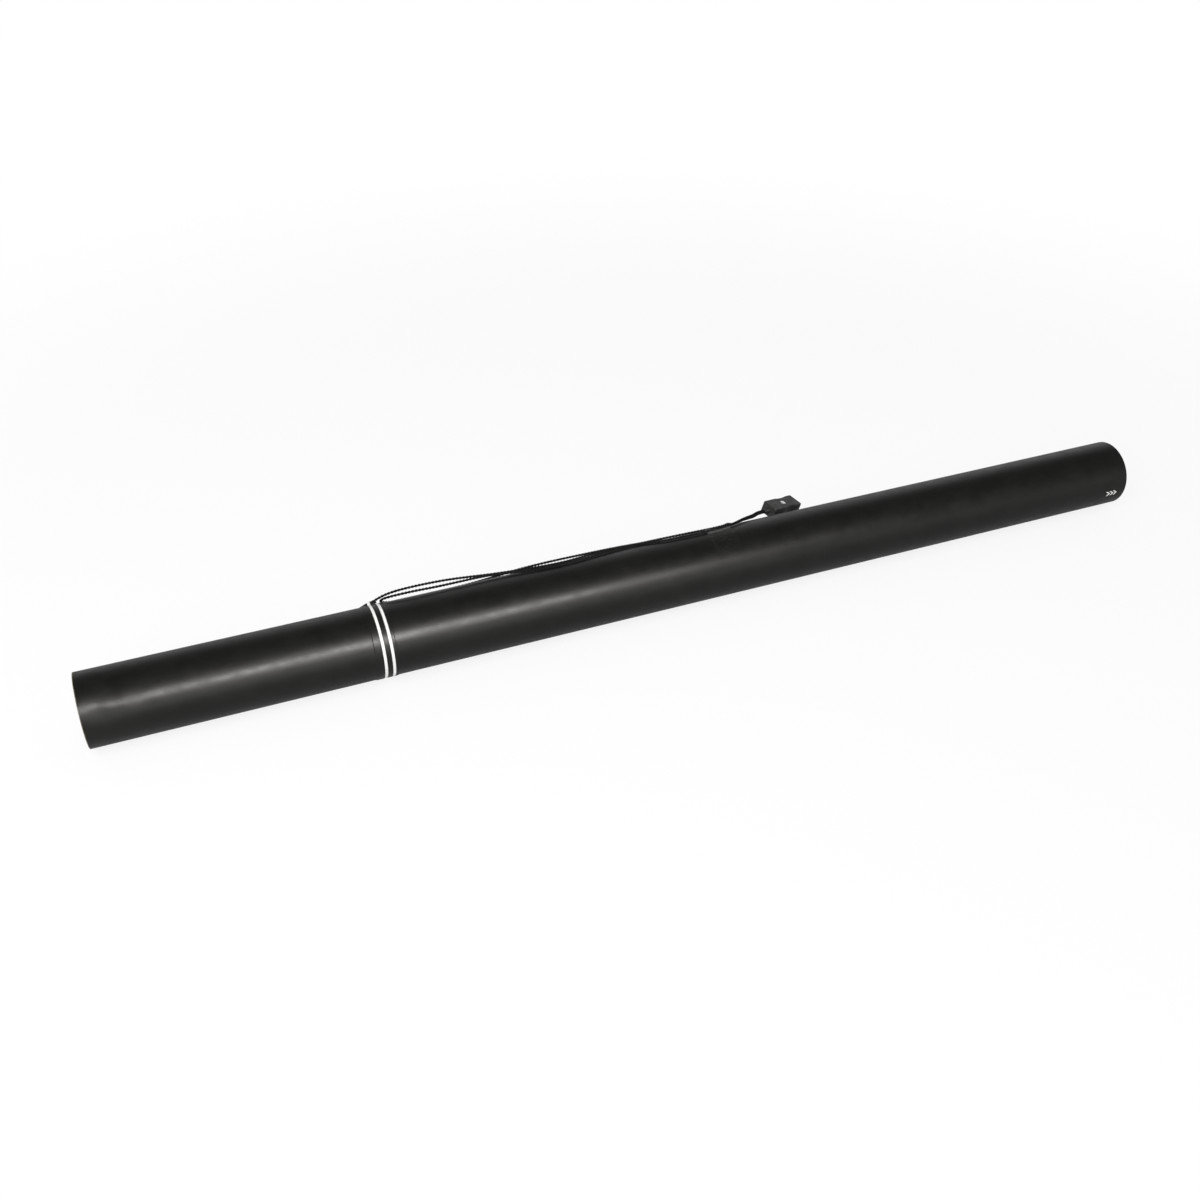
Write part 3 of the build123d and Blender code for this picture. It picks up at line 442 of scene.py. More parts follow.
class Effects:
    """Shared effects, each one node group.

    Attributes:
        cloud_share: share of the clouds in a mottle. The speckle has the rest.
        mottle_span: where in that mix the colour starts and ends to drift.
        broad_scale: waves of the broad noise to one of the fine grain.
        broad_share: its share in the roughness.
        grain_span: where in that mix the roughness starts and ends to rise.
        waver_scale: waves to the metre in what makes lines waver.
        line_span: how far from the middle between two lines a line starts, and where it is full, in pitches.
        patch_span: noise from which a patch is rubbed, and where fully.
        scratch_scale: waves of the scratches to one of the patches.
        scratch_stretch: how they are drawn out.
        scratch_span: noise from which a scratch shows, and where fully.
    """

    cloud_share: float = 0.6
    mottle_span: Span = (0.36, 0.64)
    broad_scale: float = 0.07
    broad_share: float = 0.5
    grain_span: Span = (0.4, 0.6)
    waver_scale: float = 320.0
    line_span: Span = (0.3, 0.5)
    patch_span: Span = (0.56, 0.72)
    scratch_scale: float = 9.0
    scratch_stretch: Colour = (0.25, 1.0, 1.6)
    scratch_span: Span = (0.6, 0.7)

    @staticmethod
    @shared("tube place", {"Place": "Vector"}, {"Along": "Float", "Around": "Float", "Radius": "Float"})
    def tube_place(graph: Graph, given: Sockets) -> dict[str, Socket]:
        """Turns a place into distance along the tube, angle round it and radius from its axis.

        Args:
            graph: the group's graph.
            given: its input sockets.

        Returns:
            The sockets of its outputs, by name.
        """
        axes = graph.axes(given["Place"])
        up = graph.less(axes["Z"], AXIS.height)
        along = graph.less(axes["X"], AXIS.base)
        around = graph.math("ARCTAN2", axes["Y"], up)
        return {"Along": along, "Around": around, "Radius": graph.diagonal(axes["Y"], up)}

    @staticmethod
    @shared(
        "mottle",
        {
            "Place": "Vector", "Cloud scale": "Float", "Speckle scale": "Float",
            "Low": "Color", "High": "Color",
        },
        {"Colour": "Color"},
    )
    def mottle(graph: Graph, given: Sockets) -> dict[str, Socket]:
        """Drifts between two colours in soft clouds with a finer speckle on top.

        Args:
            graph: the group's graph.
            given: its input sockets.

        Returns:
            The sockets of its outputs, by name.
        """
        cloud = graph.noise(given["Place"], given["Cloud scale"], detail=2.0)
        speckle = graph.noise(given["Place"], given["Speckle scale"], detail=2.0)
        rest = graph.times(speckle, 1 - Effects.cloud_share)
        mixed = graph.plus(graph.times(cloud, Effects.cloud_share), rest)
        return {"Colour": graph.blend(graph.span(mixed, *Effects.mottle_span), given["Low"], given["High"])}

    @staticmethod
    @shared(
        "grain",
        {"Place": "Vector", "Scale": "Float", "Smooth": "Float", "Rough": "Float"},
        {"Height": "Float", "Roughness": "Float"},
    )
    def grain(graph: Graph, given: Sockets) -> dict[str, Socket]:
        """Gives a fine height for a bump and the roughness that goes with it.

        Args:
            graph: the group's graph.
            given: its input sockets.

        Returns:
            The sockets of its outputs, by name.
        """
        fine = graph.noise(given["Place"], given["Scale"], detail=4.0, rough=0.6)
        broad = graph.noise(given["Place"], graph.times(given["Scale"], Effects.broad_scale), detail=2.0)
        rest = graph.times(fine, 1 - Effects.broad_share)
        mixed = graph.plus(rest, graph.times(broad, Effects.broad_share))
        share = graph.span(mixed, *Effects.grain_span)
        values = {"Value": share, "To Min": given["Smooth"], "To Max": given["Rough"]}
        return {"Height": fine, "Roughness": graph.node("ShaderNodeMapRange", values).outputs["Result"]}

    @staticmethod
    @shared(
        "lines", {"Value": "Float", "Pitch": "Float", "Place": "Vector", "Waver": "Float"}, {"Mask": "Float"}
    )
    def lines(graph: Graph, given: Sockets) -> dict[str, Socket]:
        """Draws regular lines on a value: board plies on a radius, tool marks on a distance.

        Args:
            graph: the group's graph.
            given: its input sockets.

        Returns:
            The sockets of its outputs, by name.
        """
        waver = graph.times(graph.noise(given["Place"], Effects.waver_scale, detail=2.0), given["Waver"])
        count = graph.math("DIVIDE", given["Value"], given["Pitch"])
        phase = graph.math("FRACT", graph.plus(count, waver))
        fold = graph.math("ABSOLUTE", graph.less(phase, 0.5))
        return {"Mask": graph.span(fold, *Effects.line_span)}

    @staticmethod
    @shared("scuffs", {"Place": "Vector", "Scale": "Float"}, {"Mask": "Float"})
    def scuffs(graph: Graph, given: Sockets) -> dict[str, Socket]:
        """Marks sparse rubbed patches and short scratches.

        Args:
            graph: the group's graph.
            given: its input sockets.

        Returns:
            The sockets of its outputs, by name.
        """
        patch = graph.span(graph.noise(given["Place"], given["Scale"]), *Effects.patch_span)
        streak = graph.stretched(given["Place"], Effects.scratch_stretch)
        fine = graph.noise(streak, graph.times(given["Scale"], Effects.scratch_scale), detail=2.0)
        return {"Mask": graph.times(patch, graph.span(fine, *Effects.scratch_span))}


@dataclass(frozen=True)
class Finish:
    """A surface finish: one material that is made when it is first asked for.

    Attributes:
        name: the material's name.
        colour: its main colour.
        second: the colour that it drifts to.
        smooth: its least roughness.
        rough: its greatest roughness.
        grain_scale: waves of its grain to the metre, roughly.
        bump: how deep its grain looks.
        metallic: one for bare metal.
        gloss: the shader's specular level.
        cloud_scale: waves of its colour's clouds to one of its grain.
        speckle_scale: the same for its colour's speckle.
        grain_depth: depth of its grain in wave lengths.
    """

    name: str
    colour: Colour
    second: Colour
    smooth: float = 0.4
    rough: float = 0.55
    grain_scale: float = 2500.0
    bump: float = 0.1
    metallic: float = 0.0
    gloss: float = 0.5
    cloud_scale: float = 0.03
    speckle_scale: float = 0.5
    grain_depth: float = 0.4

    def material(self) -> bpy.types.Material:
        """The finish's material, from the last call or new.

        Returns:
            The material.
        """
        known = bpy.data.materials.get(self.name)
        if known:
            return known
        made = bpy.data.materials.new(self.name)
        made.use_nodes = True
        made.node_tree.nodes.clear()
        graph = Graph(made.node_tree)
        shader = graph.node("ShaderNodeBsdfPrincipled")
        shader.inputs["Metallic"].default_value = self.metallic
        shader.inputs["Specular IOR Level"].default_value = self.gloss
        graph.node("ShaderNodeOutputMaterial", {"Surface": shader.outputs[0]})
        place = graph.node("ShaderNodeTexCoord").outputs["Object"]
        colour, rough, height = self.surface(graph, place)
        graph.feed(shader.inputs["Base Color"], colour)
        graph.feed(shader.inputs["Roughness"], rough)
        values = {"Height": height, "Strength": self.bump, "Distance": self.depth()}
        graph.feed(shader.inputs["Normal"], graph.node("ShaderNodeBump", values).outputs["Normal"])
        self.settle(graph, shader, place)
        return made

    def depth(self) -> float:
        """How far apart the bump's low and high points are taken to be."""
        return self.grain_depth / self.grain_scale

    def surface(self, graph: Graph, place: Socket) -> Look:
        """Colour, roughness and height of the finish at a place.

        Args:
            graph: the material's graph.
            place: object coordinates.

        Returns:
            The three sockets.
        """
        tints = {
            "Place": place,
            "Cloud scale": self.grain_scale * self.cloud_scale,
            "Speckle scale": self.grain_scale * self.speckle_scale,
            "Low": self.colour,
            "High": self.second,
        }
        tint = graph.group(Effects.mottle(), tints)
        values = {"Place": place, "Scale": self.grain_scale, "Smooth": self.smooth, "Rough": self.rough}
        grain = graph.group(Effects.grain(), values)
        return tint["Colour"], grain["Roughness"], grain["Height"]

    def settle(self, graph: Graph, shader: bpy.types.Node, place: Socket) -> None:
        """Last touches to the shader, none for a plain finish."""

    def dress(self, *pieces: bpy.types.Object) -> None:
        """Gives the material to pieces.

        Args:
            *pieces: what gets it.
        """
        for piece in pieces:
            piece.data.materials.clear()
            piece.data.materials.append(self.material())


@dataclass(frozen=True)
class PrintedPaper(Finish):
    """Black printed paper of the wraps and the band, with white ink and worn rims.

    Attributes:
        stripes: white rings, each from and to along the tube.
        stray: how far the stripes' edges stray.
        stray_scale: waves of that to the metre.
        ink: colour of the white print.
        ink_edge: half of the soft edge of a stripe.
        worn_ends: places along the tube where the paper's edge is rubbed through to the board.
        wear: how far from such an edge the rubbing reaches.
        wear_span: distance over the ragged line at which the rubbing is full, and where it ends.
        ragged_scale: waves of that line to the metre.
        worn_colour: colour of the board that shows there.
        scuff_scale: waves of the scuffs' patches to the metre.
        scuff_share: how strongly scuffs show.
        scuff_colour: their colour.
        arrows_from: where the first of the printed arrows starts, or below 0 for none.
        arrows: how many there are.
        arrows_around: angle of the arrows' middle.
        arrow_pitch: distance from one arrow to the next.
        arrow_gap: distance from the start of a pitch to its stroke.
        arrow_stroke: length of an arrow's stroke along the tube.
        arrow_reach: half of an arrow's width round the tube.
        arrow_slope: how far an arrow's strokes run back for their distance to the side.
        arrow_lean: how much more the upper stroke does so, and how much less the lower.
        arrow_edges: half of the soft edge of a stroke, of the row's ends and of its sides.
        radius: radius of the paper's outside.
        sway: height of the long waves that the paper lies in, against its grain's.
        sway_scale: these waves to the metre, round the tube.
        sway_stretch: how they are drawn out along it.
        buckle: height of the dents near a worn end, against its grain's.
        buckle_scale: dents to the metre.
        buckle_reach: how far from such an end the dents reach.
    """

    stripes: tuple[Span, ...] = ()
    stray: float = 0.00012
    stray_scale: float = 900.0
    ink: Colour = (0.8, 0.8, 0.78)
    ink_edge: float = 0.00007
    worn_ends: tuple[float, ...] = ()
    wear: float = 0.0007
    wear_span: Span = (-0.0005, -0.0001)
    ragged_scale: float = 420.0
    worn_colour: Colour = (0.2, 0.17, 0.1)
    scuff_scale: float = 60.0
    scuff_share: float = 0.15
    scuff_colour: Colour = (0.04, 0.039, 0.036)
    arrows_from: float = -1.0
    arrows: int = 3
    arrows_around: float = -97.7
    arrow_pitch: float = 0.00335
    arrow_gap: float = 0.0004
    arrow_stroke: float = 0.0016
    arrow_reach: float = 0.0022
    arrow_slope: float = 1.15
    arrow_lean: float = 0.3
    arrow_edges: Colour = (0.00012, 0.00005, 0.0001)
    radius: float = 0.025
    sway: float = 5.0
    sway_scale: float = 130.0
    sway_stretch: Colour = (0.12, 1.0, 1.0)
    buckle: float = 200.0
    buckle_scale: float = 46.0
    buckle_reach: float = 0.06

    def surface(self, graph: Graph, place: Socket) -> Look:
        """Clouded black with printed rings and arrows, rubbed edges and a fibrous height.

        Args:
            graph: the material's graph.
            place: object coordinates.

        Returns:
            Sockets of colour, roughness and height.
        """
        colour, rough, height = Finish.surface(self, graph, place)
        spot = graph.spot(place)
        jitter = graph.times(graph.less(graph.noise(place, self.stray_scale), 0.5), self.stray)
        along = graph.plus(spot["Along"], jitter)
        rubbed = graph.group(Effects.scuffs(), {"Place": place, "Scale": self.scuff_scale})["Mask"]
        colour = graph.blend(graph.times(rubbed, self.scuff_share), colour, self.scuff_colour)
        for start, end in self.stripes:
            colour = graph.blend(graph.band(along, start, end, self.ink_edge), colour, self.ink)
        if self.arrows_from >= 0:
            colour = graph.blend(self.arrow_mask(graph, spot), colour, self.ink)
        for edge in self.worn_ends:
            far = graph.math("ABSOLUTE", graph.less(spot["Along"], edge))
            ragged = graph.times(graph.noise(place, self.ragged_scale, detail=4.0, rough=0.7), self.wear * 2)
            worn = graph.span(graph.less(far, ragged), *self.wear_span, 1.0, 0.0)
            colour = graph.blend(worn, colour, self.worn_colour)
            share = graph.span(far, 0.0, self.buckle_reach, self.buckle, 0.0)
            height = graph.plus(height, graph.times(graph.noise(place, self.buckle_scale, detail=1.0), share))
        waves = graph.noise(graph.stretched(place, self.sway_stretch), self.sway_scale, detail=2.0)
        return colour, rough, graph.plus(height, graph.times(waves, self.sway))

    def arrow_mask(self, graph: Graph, spot: Sockets) -> Socket:
        """Mask of a row of arrows that point to the mouth.

        An arrow's strokes run back from its tip: the place along, plus the slope times the sideways distance
        and the lean times the same with its sign, taken in steps of the pitch, falls on ink for the length
        of a stroke.

        Args:
            graph: the material's graph.
            spot: outputs of the tube place group.

        Returns:
            Socket of the mask.
        """
        stroke_edge, end_edge, side_edge = self.arrow_edges
        side = graph.times(graph.less(spot["Around"], math.radians(self.arrows_around)), self.radius)
        aside = graph.math("ABSOLUTE", side)
        leaning = graph.math("MULTIPLY_ADD", side, self.arrow_lean, graph.times(aside, self.arrow_slope))
        run = graph.plus(graph.less(spot["Along"], self.arrows_from), leaning)
        phase = graph.math("FRACT", graph.math("DIVIDE", run, self.arrow_pitch))
        step = graph.times(phase, self.arrow_pitch)
        stroke = graph.band(step, self.arrow_gap, self.arrow_gap + self.arrow_stroke, stroke_edge)
        row = graph.band(run, 0.0, self.arrows * self.arrow_pitch, end_edge)
        inside = graph.span(aside, self.arrow_reach - side_edge, self.arrow_reach + side_edge, 1.0, 0.0)
        return graph.times(graph.times(stroke, row), inside)


@dataclass(frozen=True)
class WoundBoard(Finish):
    """Wound grey-brown board: plies show as rings on cut rims and as slanted butt lines on the walls.

    Attributes:
        ply: thickness of one ply.
        ply_waver: how far the ply lines waver, in plies.
        ply_share: how strongly they show.
        ply_depth: how deep they are, against the grain's height.
        strip: width of a wound strip along the tube.
        butt: where a butt line starts and ends in a strip's width.
        butt_edge: half of its soft edge.
        butt_share: how strongly it shows.
        seam: colour of the glue lines.
    """

    ply: float = 0.00038
    ply_waver: float = 0.5
    ply_share: float = 0.55
    ply_depth: float = 0.6
    strip: float = 0.062
    butt: Span = (0.49, 0.502)
    butt_edge: float = 0.003
    butt_share: float = 0.7
    seam: Colour = (0.16, 0.13, 0.09)

    def surface(self, graph: Graph, place: Socket) -> Look:
        """Fibrous board with darker ply lines.

        Args:
            graph: the material's graph.
            place: object coordinates.

        Returns:
            Sockets of colour, roughness and height.
        """
        colour, rough, height = Finish.surface(self, graph, place)
        spot = graph.spot(place)
        values = {"Value": spot["Radius"], "Pitch": self.ply, "Place": place, "Waver": self.ply_waver}
        plies = graph.group(Effects.lines(), values)["Mask"]
        turn = graph.times(spot["Around"], self.strip / (2 * math.pi))
        slant = graph.math("FRACT", graph.math("DIVIDE", graph.plus(spot["Along"], turn), self.strip))
        butt = graph.band(slant, *self.butt, self.butt_edge)
        colour = graph.blend(graph.times(plies, self.ply_share), colour, self.seam)
        colour = graph.blend(graph.times(butt, self.butt_share), colour, self.seam)
        return colour, rough, graph.less(height, graph.times(plies, self.ply_depth))


@dataclass(frozen=True)
class WorkedMetal(Finish):
    """Metal with marks that run one way: drawn along the tube, turned round it or brushed.

    Attributes:
        marks: how far apart the marks are along X, Y and Z, as a scale.
        depth_share: share of the marks in the height.
        tint_span: noise from which the colour drifts, and where it ends.
        rough_span: noise from which the roughness rises, and where it ends.
        scuff_scale: waves of the scuffs' patches to one of the marks.
        scuff_rough: how much rougher a scuff is.
    """

    marks: Colour = (0.02, 1.0, 1.0)
    depth_share: float = 0.8
    tint_span: Span = (0.34, 0.66)
    rough_span: Span = (0.3, 0.7)
    scuff_scale: float = 0.06
    scuff_rough: float = 0.18

    def surface(self, graph: Graph, place: Socket) -> Look:
        """Streaked metal with scuffs that scatter the light.

        Args:
            graph: the material's graph.
            place: object coordinates.

        Returns:
            Sockets of colour, roughness and height.
        """
        streak = graph.noise(graph.stretched(place, self.marks), self.grain_scale, detail=4.0, rough=0.65)
        patches = {"Place": place, "Scale": self.grain_scale * self.scuff_scale}
        scuff = graph.group(Effects.scuffs(), patches)["Mask"]
        colour = graph.blend(graph.span(streak, *self.tint_span), self.colour, self.second)
        spread = graph.span(streak, *self.rough_span, self.smooth, self.rough)
        rough = graph.plus(spread, graph.times(scuff, self.scuff_rough))
        return colour, rough, graph.times(streak, self.depth_share)


@dataclass(frozen=True)
class OpenFoam(Finish):
    """Charcoal open-cell foam: rounded cells, about as deep as they are wide, with painted shade in their
    pores.

    Attributes:
        grain_depth: depth of its cells in wave lengths.
        pore_shade: colour of the painted shade in the pores.
        wall_span: distance from a pore's middle, in cells, at which its wall starts, and where it is full.
    """

    grain_depth: float = 0.8
    pore_shade: Colour = (0.012, 0.012, 0.013)
    wall_span: Span = (0.12, 0.5)

    def surface(self, graph: Graph, place: Socket) -> Look:
        """Cells from the distance to the nearest of scattered points, painted dark where it is small, as
        shade in the pores.

        Args:
            graph: the material's graph.
            place: object coordinates.

        Returns:
            Sockets of colour, roughness and height.
        """
        colour, rough, _ = Finish.surface(self, graph, place)
        cells = graph.node("ShaderNodeTexVoronoi", {"Vector": place, "Scale": self.grain_scale})
        wall = graph.span(cells.outputs["Distance"], *self.wall_span)
        # painted shade: the pores get a dark colour for the shade inside the cells
        return graph.blend(wall, self.pore_shade, colour), rough, wall


@dataclass(frozen=True)
class TissueSlips(Finish):
    """Dyed tissue paper, each slip a shade of its own, kept in the mesh as an attribute.

    Attributes:
        shade_name: the attribute's name.
        shade_colour: colour that a slip's shade leads to.
        shade_share: how far it leads there at most.
    """

    shade_name: str = "slip_shade"
    shade_colour: Colour = (0.005, 0.24, 0.56)
    shade_share: float = 0.6

    def surface(self, graph: Graph, place: Socket) -> Look:
        """Fibrous blue that is darker or paler from slip to slip.

        Args:
            graph: the material's graph.
            place: object coordinates.

        Returns:
            Sockets of colour, roughness and height.
        """
        colour, rough, height = Finish.surface(self, graph, place)
        shade = graph.node("ShaderNodeAttribute", attribute_name=self.shade_name).outputs["Fac"]
        return graph.blend(graph.times(shade, self.shade_share), colour, self.shade_colour), rough, height


@dataclass(frozen=True)
class ClearFilm(Finish):
    """Clear sticky tape: a glossy film that shows as a pale grey cover at its cut edges and where it stands
    off the paper, partly its own haze and partly painted glint and reflection.

    Attributes:
        start: where along the tube the film starts.
        end: where it ends.
        cut_width: width of a cut edge that shows.
        cut_glint_cover: how much a cut edge covers, from clear to the greatest cover: a painted glint along
            the edge.
        stuck: radius up to which it sticks to the paper.
        lifted: radius from which it lies on the lead.
        soft: half of the soft edge of all these.
        speck_scale: waves of specks of air to the metre.
        speck_span: noise from which a speck shows, and where fully.
        speck_cover: how much a speck covers.
        clear: its least cover.
        haze_and_sheen_cover: its cover where air is behind it: the film's haze and a painted reflection off
            the lifted film.
    """

    start: float = 0.438
    end: float = 0.457
    cut_width: float = 0.0003
    cut_glint_cover: float = 0.45
    stuck: float = 0.0254
    lifted: float = 0.0264
    soft: float = 0.0002
    speck_scale: float = 500.0
    speck_span: Span = (0.58, 0.7)
    speck_cover: float = 0.25
    clear: float = 0.004
    haze_and_sheen_cover: float = 0.14

    def settle(self, graph: Graph, shader: bpy.types.Node, place: Socket) -> None:
        """Lets the film's cover vary between clear and pale grey. At the cut edges and over air the pale
        cover is partly haze and partly painted glint and reflection.

        Args:
            graph: the material's graph.
            shader: the principled shader.
            place: object coordinates.
        """
        spot = graph.spot(place)
        inside = graph.band(spot["Along"], self.start + self.cut_width, self.end - self.cut_width, self.soft)
        # painted glint: the cut edges are drawn as pale cover
        cut = graph.times(graph.less(1.0, inside), self.cut_glint_cover)
        # painted reflection and haze: the film lifted over air is drawn as pale cover
        air = graph.band(spot["Radius"], self.stuck, self.lifted, self.soft)
        specks = graph.span(graph.noise(place, self.speck_scale), *self.speck_span)
        most = graph.math("MAXIMUM", graph.math("MAXIMUM", cut, air), graph.times(specks, self.speck_cover))
        graph.feed(shader.inputs["Alpha"], graph.span(most, 0.0, 1.0, self.clear, self.haze_and_sheen_cover))


@dataclass(frozen=True)
class TurnedRings(Finish):
    """Metal or plastic with fine rings left by a lathe or a mould.

    Attributes:
        pitch: distance between rings along the tube.
        outward: rings outwards to one ring along the tube.
        waver: how far the rings waver, in pitches.
        cut: depth of a ring in pitches.
        ring_colour: colour in the rings.
        share: how strongly the rings show.
        grain_share: share of the grain in the height.
    """

    pitch: float = 0.00045
    outward: float = 0.55
    waver: float = 0.12
    cut: float = 0.1
    ring_colour: Colour = (0.4, 0.3, 0.12)
    share: float = 0.35
    grain_share: float = 0.15

    def surface(self, graph: Graph, place: Socket) -> Look:
        """Rings on the place along plus about half of the radius: walls, cones and faces all have them.

        Args:
            graph: the material's graph.
            place: object coordinates.

        Returns:
            Sockets of colour, roughness and height.
        """
        colour, rough, height = Finish.surface(self, graph, place)
        spot = graph.spot(place)
        way = graph.plus(spot["Along"], graph.times(spot["Radius"], self.outward))
        values = {"Value": way, "Pitch": self.pitch, "Place": place, "Waver": self.waver}
        rings = graph.group(Effects.lines(), values)["Mask"]
        colour = graph.blend(graph.times(rings, self.share), colour, self.ring_colour)
        return colour, rough, graph.less(graph.times(height, self.grain_share), rings)

    def depth(self) -> float:
        """Depth of a ring."""
        return self.pitch * self.cut


@dataclass(frozen=True)
class CircuitLaminate(Finish):
    """Green board with tinned lands round its two screws and under the heater's feet.

    Attributes:
        lands: distances of the lands from the tube's axis, sideways.
        land_radius: radius of a land.
        land_edge: half of its soft edge.
        tin: colour of the tinned lands.
    """

    lands: tuple[float, ...] = (0.0165, 0.0055)
    land_radius: float = 0.0022
    land_edge: float = 0.0001
    tin: Colour = (0.55, 0.55, 0.53)

    def surface(self, graph: Graph, place: Socket) -> Look:
        """Green lacquer with a woven height, and tin where the sideways distance is near a land.

        Args:
            graph: the material's graph.
            place: object coordinates.

        Returns:
            Sockets of colour, roughness and height.
        """
        colour, rough, height = Finish.surface(self, graph, place)
        axes = graph.axes(place)
        sideways = graph.math("ABSOLUTE", axes["Y"])
        up = graph.less(axes["Z"], AXIS.height)
        edge = (self.land_radius - self.land_edge, self.land_radius + self.land_edge)
        for land in self.lands:
            far = graph.diagonal(graph.less(sideways, land), up)
            colour = graph.blend(graph.span(far, *edge, 1.0, 0.0), colour, self.tin)
        return colour, rough, height


@dataclass(frozen=True)
class BandedCeramic(Finish):
    """Cream resistor body with coloured rings across it and bare wires at its ends.

    Attributes:
        rings: places of the rings across the tube, each with its colour.
        ring_width: width of a ring.
        ring_edge: half of its soft edge.
        wire_span: distance from the middle at which the body ends, and where the wire is bare.
        wire: the wire's colour.
    """

    rings: tuple[tuple[float, Colour], ...] = (
        (-0.0018, (0.12, 0.05, 0.02)),
        (-0.0006, (0.01, 0.01, 0.01)),
        (0.0006, (0.01, 0.01, 0.01)),
        (0.0019, (0.5, 0.36, 0.1)),
    )
    ring_width: float = 0.0006
    ring_edge: float = 0.00005
    wire_span: Span = (0.0033, 0.0034)
    wire: Colour = (0.55, 0.54, 0.52)

    def surface(self, graph: Graph, place: Socket) -> Look:
        """Cream glaze with a ring wherever the place across is near one of the listed places.

        Args:
            graph: the material's graph.
            place: object coordinates.

        Returns:
            Sockets of colour, roughness and height.
        """
        colour, rough, height = Finish.surface(self, graph, place)
        across = graph.axes(place)["Y"]
        half = self.ring_width / 2
        for middle, tint in self.rings:
            ring = graph.band(across, middle - half, middle + half, self.ring_edge)
            colour = graph.blend(ring, colour, tint)
        bare = graph.span(graph.math("ABSOLUTE", across), *self.wire_span)
        return graph.blend(bare, colour, self.wire), rough, height


WRAP_PAPER = PrintedPaper(
    "wrap_paper", (0.0062, 0.0063, 0.0058), (0.0088, 0.0088, 0.0081), 0.35, 0.42, 1800.0, 0.06, gloss=0.2,
    worn_ends=(0.0,), arrows_from=0.7837,
)
BAND_PAPER = replace(
    WRAP_PAPER, name="band_paper", worn_ends=(), arrows_from=-1.0, stripes=((0.1891, 0.191), (0.1946, 0.1965))
)
TUBE_BOARD = WoundBoard("tube_board", (0.3, 0.25, 0.17), (0.42, 0.36, 0.26), 0.8, 0.95, 900.0, 0.35)
RING_BOARD = replace(TUBE_BOARD, name="wound_ring_board", colour=(0.25, 0.21, 0.15), second=(0.36, 0.3, 0.22))
PRESSED_BOARD = Finish("pressed_board", RING_BOARD.colour, RING_BOARD.second, 0.8, 0.95, 1300.0, 0.3)
LEAD_SKIN = Finish(
    "lead_skin", (0.005, 0.005, 0.005), (0.008, 0.008, 0.0076), 0.5, 0.66, 3000.0, 0.08, gloss=0.1
)
# The film's pale grey shows only where its cover rises: partly haze, partly painted glint and reflection.
TAPE_FILM = ClearFilm("tape_film", (0.2, 0.2, 0.195), (0.27, 0.27, 0.26), 0.2, 0.34, 420.0, 0.12, gloss=0.3)
CASE_PLASTIC = Finish("moulded_case", (0.013, 0.013, 0.013), (0.022, 0.022, 0.021), 0.42, 0.58, 4200.0, 0.16)
INNER_PLASTIC = TurnedRings(
    "moulded_inner", (0.014, 0.014, 0.014), (0.022, 0.022, 0.022), 0.42, 0.6, 1500.0, 0.12,
    pitch=0.003, ring_colour=(0.026, 0.026, 0.026), share=0.5,
)
BRIGHT_STEEL = WorkedMetal(
    "brushed_steel", (0.66, 0.66, 0.67), (0.76, 0.76, 0.77), 0.22, 0.34, 9000.0, 0.03, 1.0,
    marks=(1.0, 0.08, 1.0),
)
SCREW_ZINC = WorkedMetal(
    "zinc_screw", (0.78, 0.78, 0.78), (0.86, 0.86, 0.85), 0.28, 0.4, 9000.0, 0.03, 0.45,
    marks=(1.0, 0.08, 1.0),
)
CLAW_STEEL = WorkedMetal(
    "plated_claw", (0.42, 0.43, 0.46), (0.6, 0.59, 0.55), 0.28, 0.45, 1600.0, 0.05, 1.0, marks=(0.2, 1.0, 0.2)
)
CYLINDER_METAL = WorkedMetal(
    "drawn_aluminium", (0.66, 0.67, 0.68), (0.82, 0.82, 0.83), 0.28, 0.42, 1400.0, 0.03, 1.0
)
VALVE_BRASS = TurnedRings(
    "turned_brass", (0.7, 0.53, 0.25), (0.8, 0.62, 0.31), 0.22, 0.36, 1600.0, 0.2, 1.0
)
CONTACT_BRASS = WorkedMetal(
    "rolled_brass", (0.68, 0.52, 0.24), (0.82, 0.65, 0.34), 0.22, 0.32, 2200.0, 0.04, 1.0
)
SEAL_RUBBER = Finish("soft_rubber", (0.011, 0.011, 0.011), (0.019, 0.019, 0.019), 0.55, 0.75, 2600.0, 0.2)
TIE_NYLON = Finish("clear_nylon", (0.7, 0.71, 0.7), (0.82, 0.82, 0.8), 0.25, 0.4, 2200.0, 0.08)
FIRING_LAMINATE = CircuitLaminate(
    "green_laminate", (0.02, 0.12, 0.05), (0.035, 0.17, 0.075), 0.25, 0.4, 1800.0, 0.12
)
HEATER_BODY = BandedCeramic("heater_body", (0.52, 0.44, 0.3), (0.6, 0.52, 0.37), 0.35, 0.5, 2400.0, 0.12)
PLUG_FOAM = OpenFoam("plug_foam", (0.07, 0.07, 0.074), (0.13, 0.13, 0.136), 0.85, 1.0, 700.0, 0.9)
BLUE_TISSUE = TissueSlips("dyed_tissue", (0.006, 0.31, 0.66), (0.01, 0.37, 0.74), 0.55, 0.75, 1500.0, 0.2)


def take_over(
    piece: bpy.types.Object, body: Body, finish: Finish, slot: str, *nodes: str
) -> bpy.types.Object:
    """Dresses a new piece, has it ride on a body and puts it in place of CAD nodes.

    Args:
        piece: the new piece.
        body: the body it moves with.
        finish: its finish.
        slot: the record's material slot; not used.
        *nodes: the CAD nodes that it stands for.

    Returns:
        The piece.
    """
    finish.dress(piece)
    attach(piece, body.value)
    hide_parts(*nodes)
    log.info("%s: %d faces, rides on %s", piece.name, len(piece.data.polygons), body.value)
    return piece


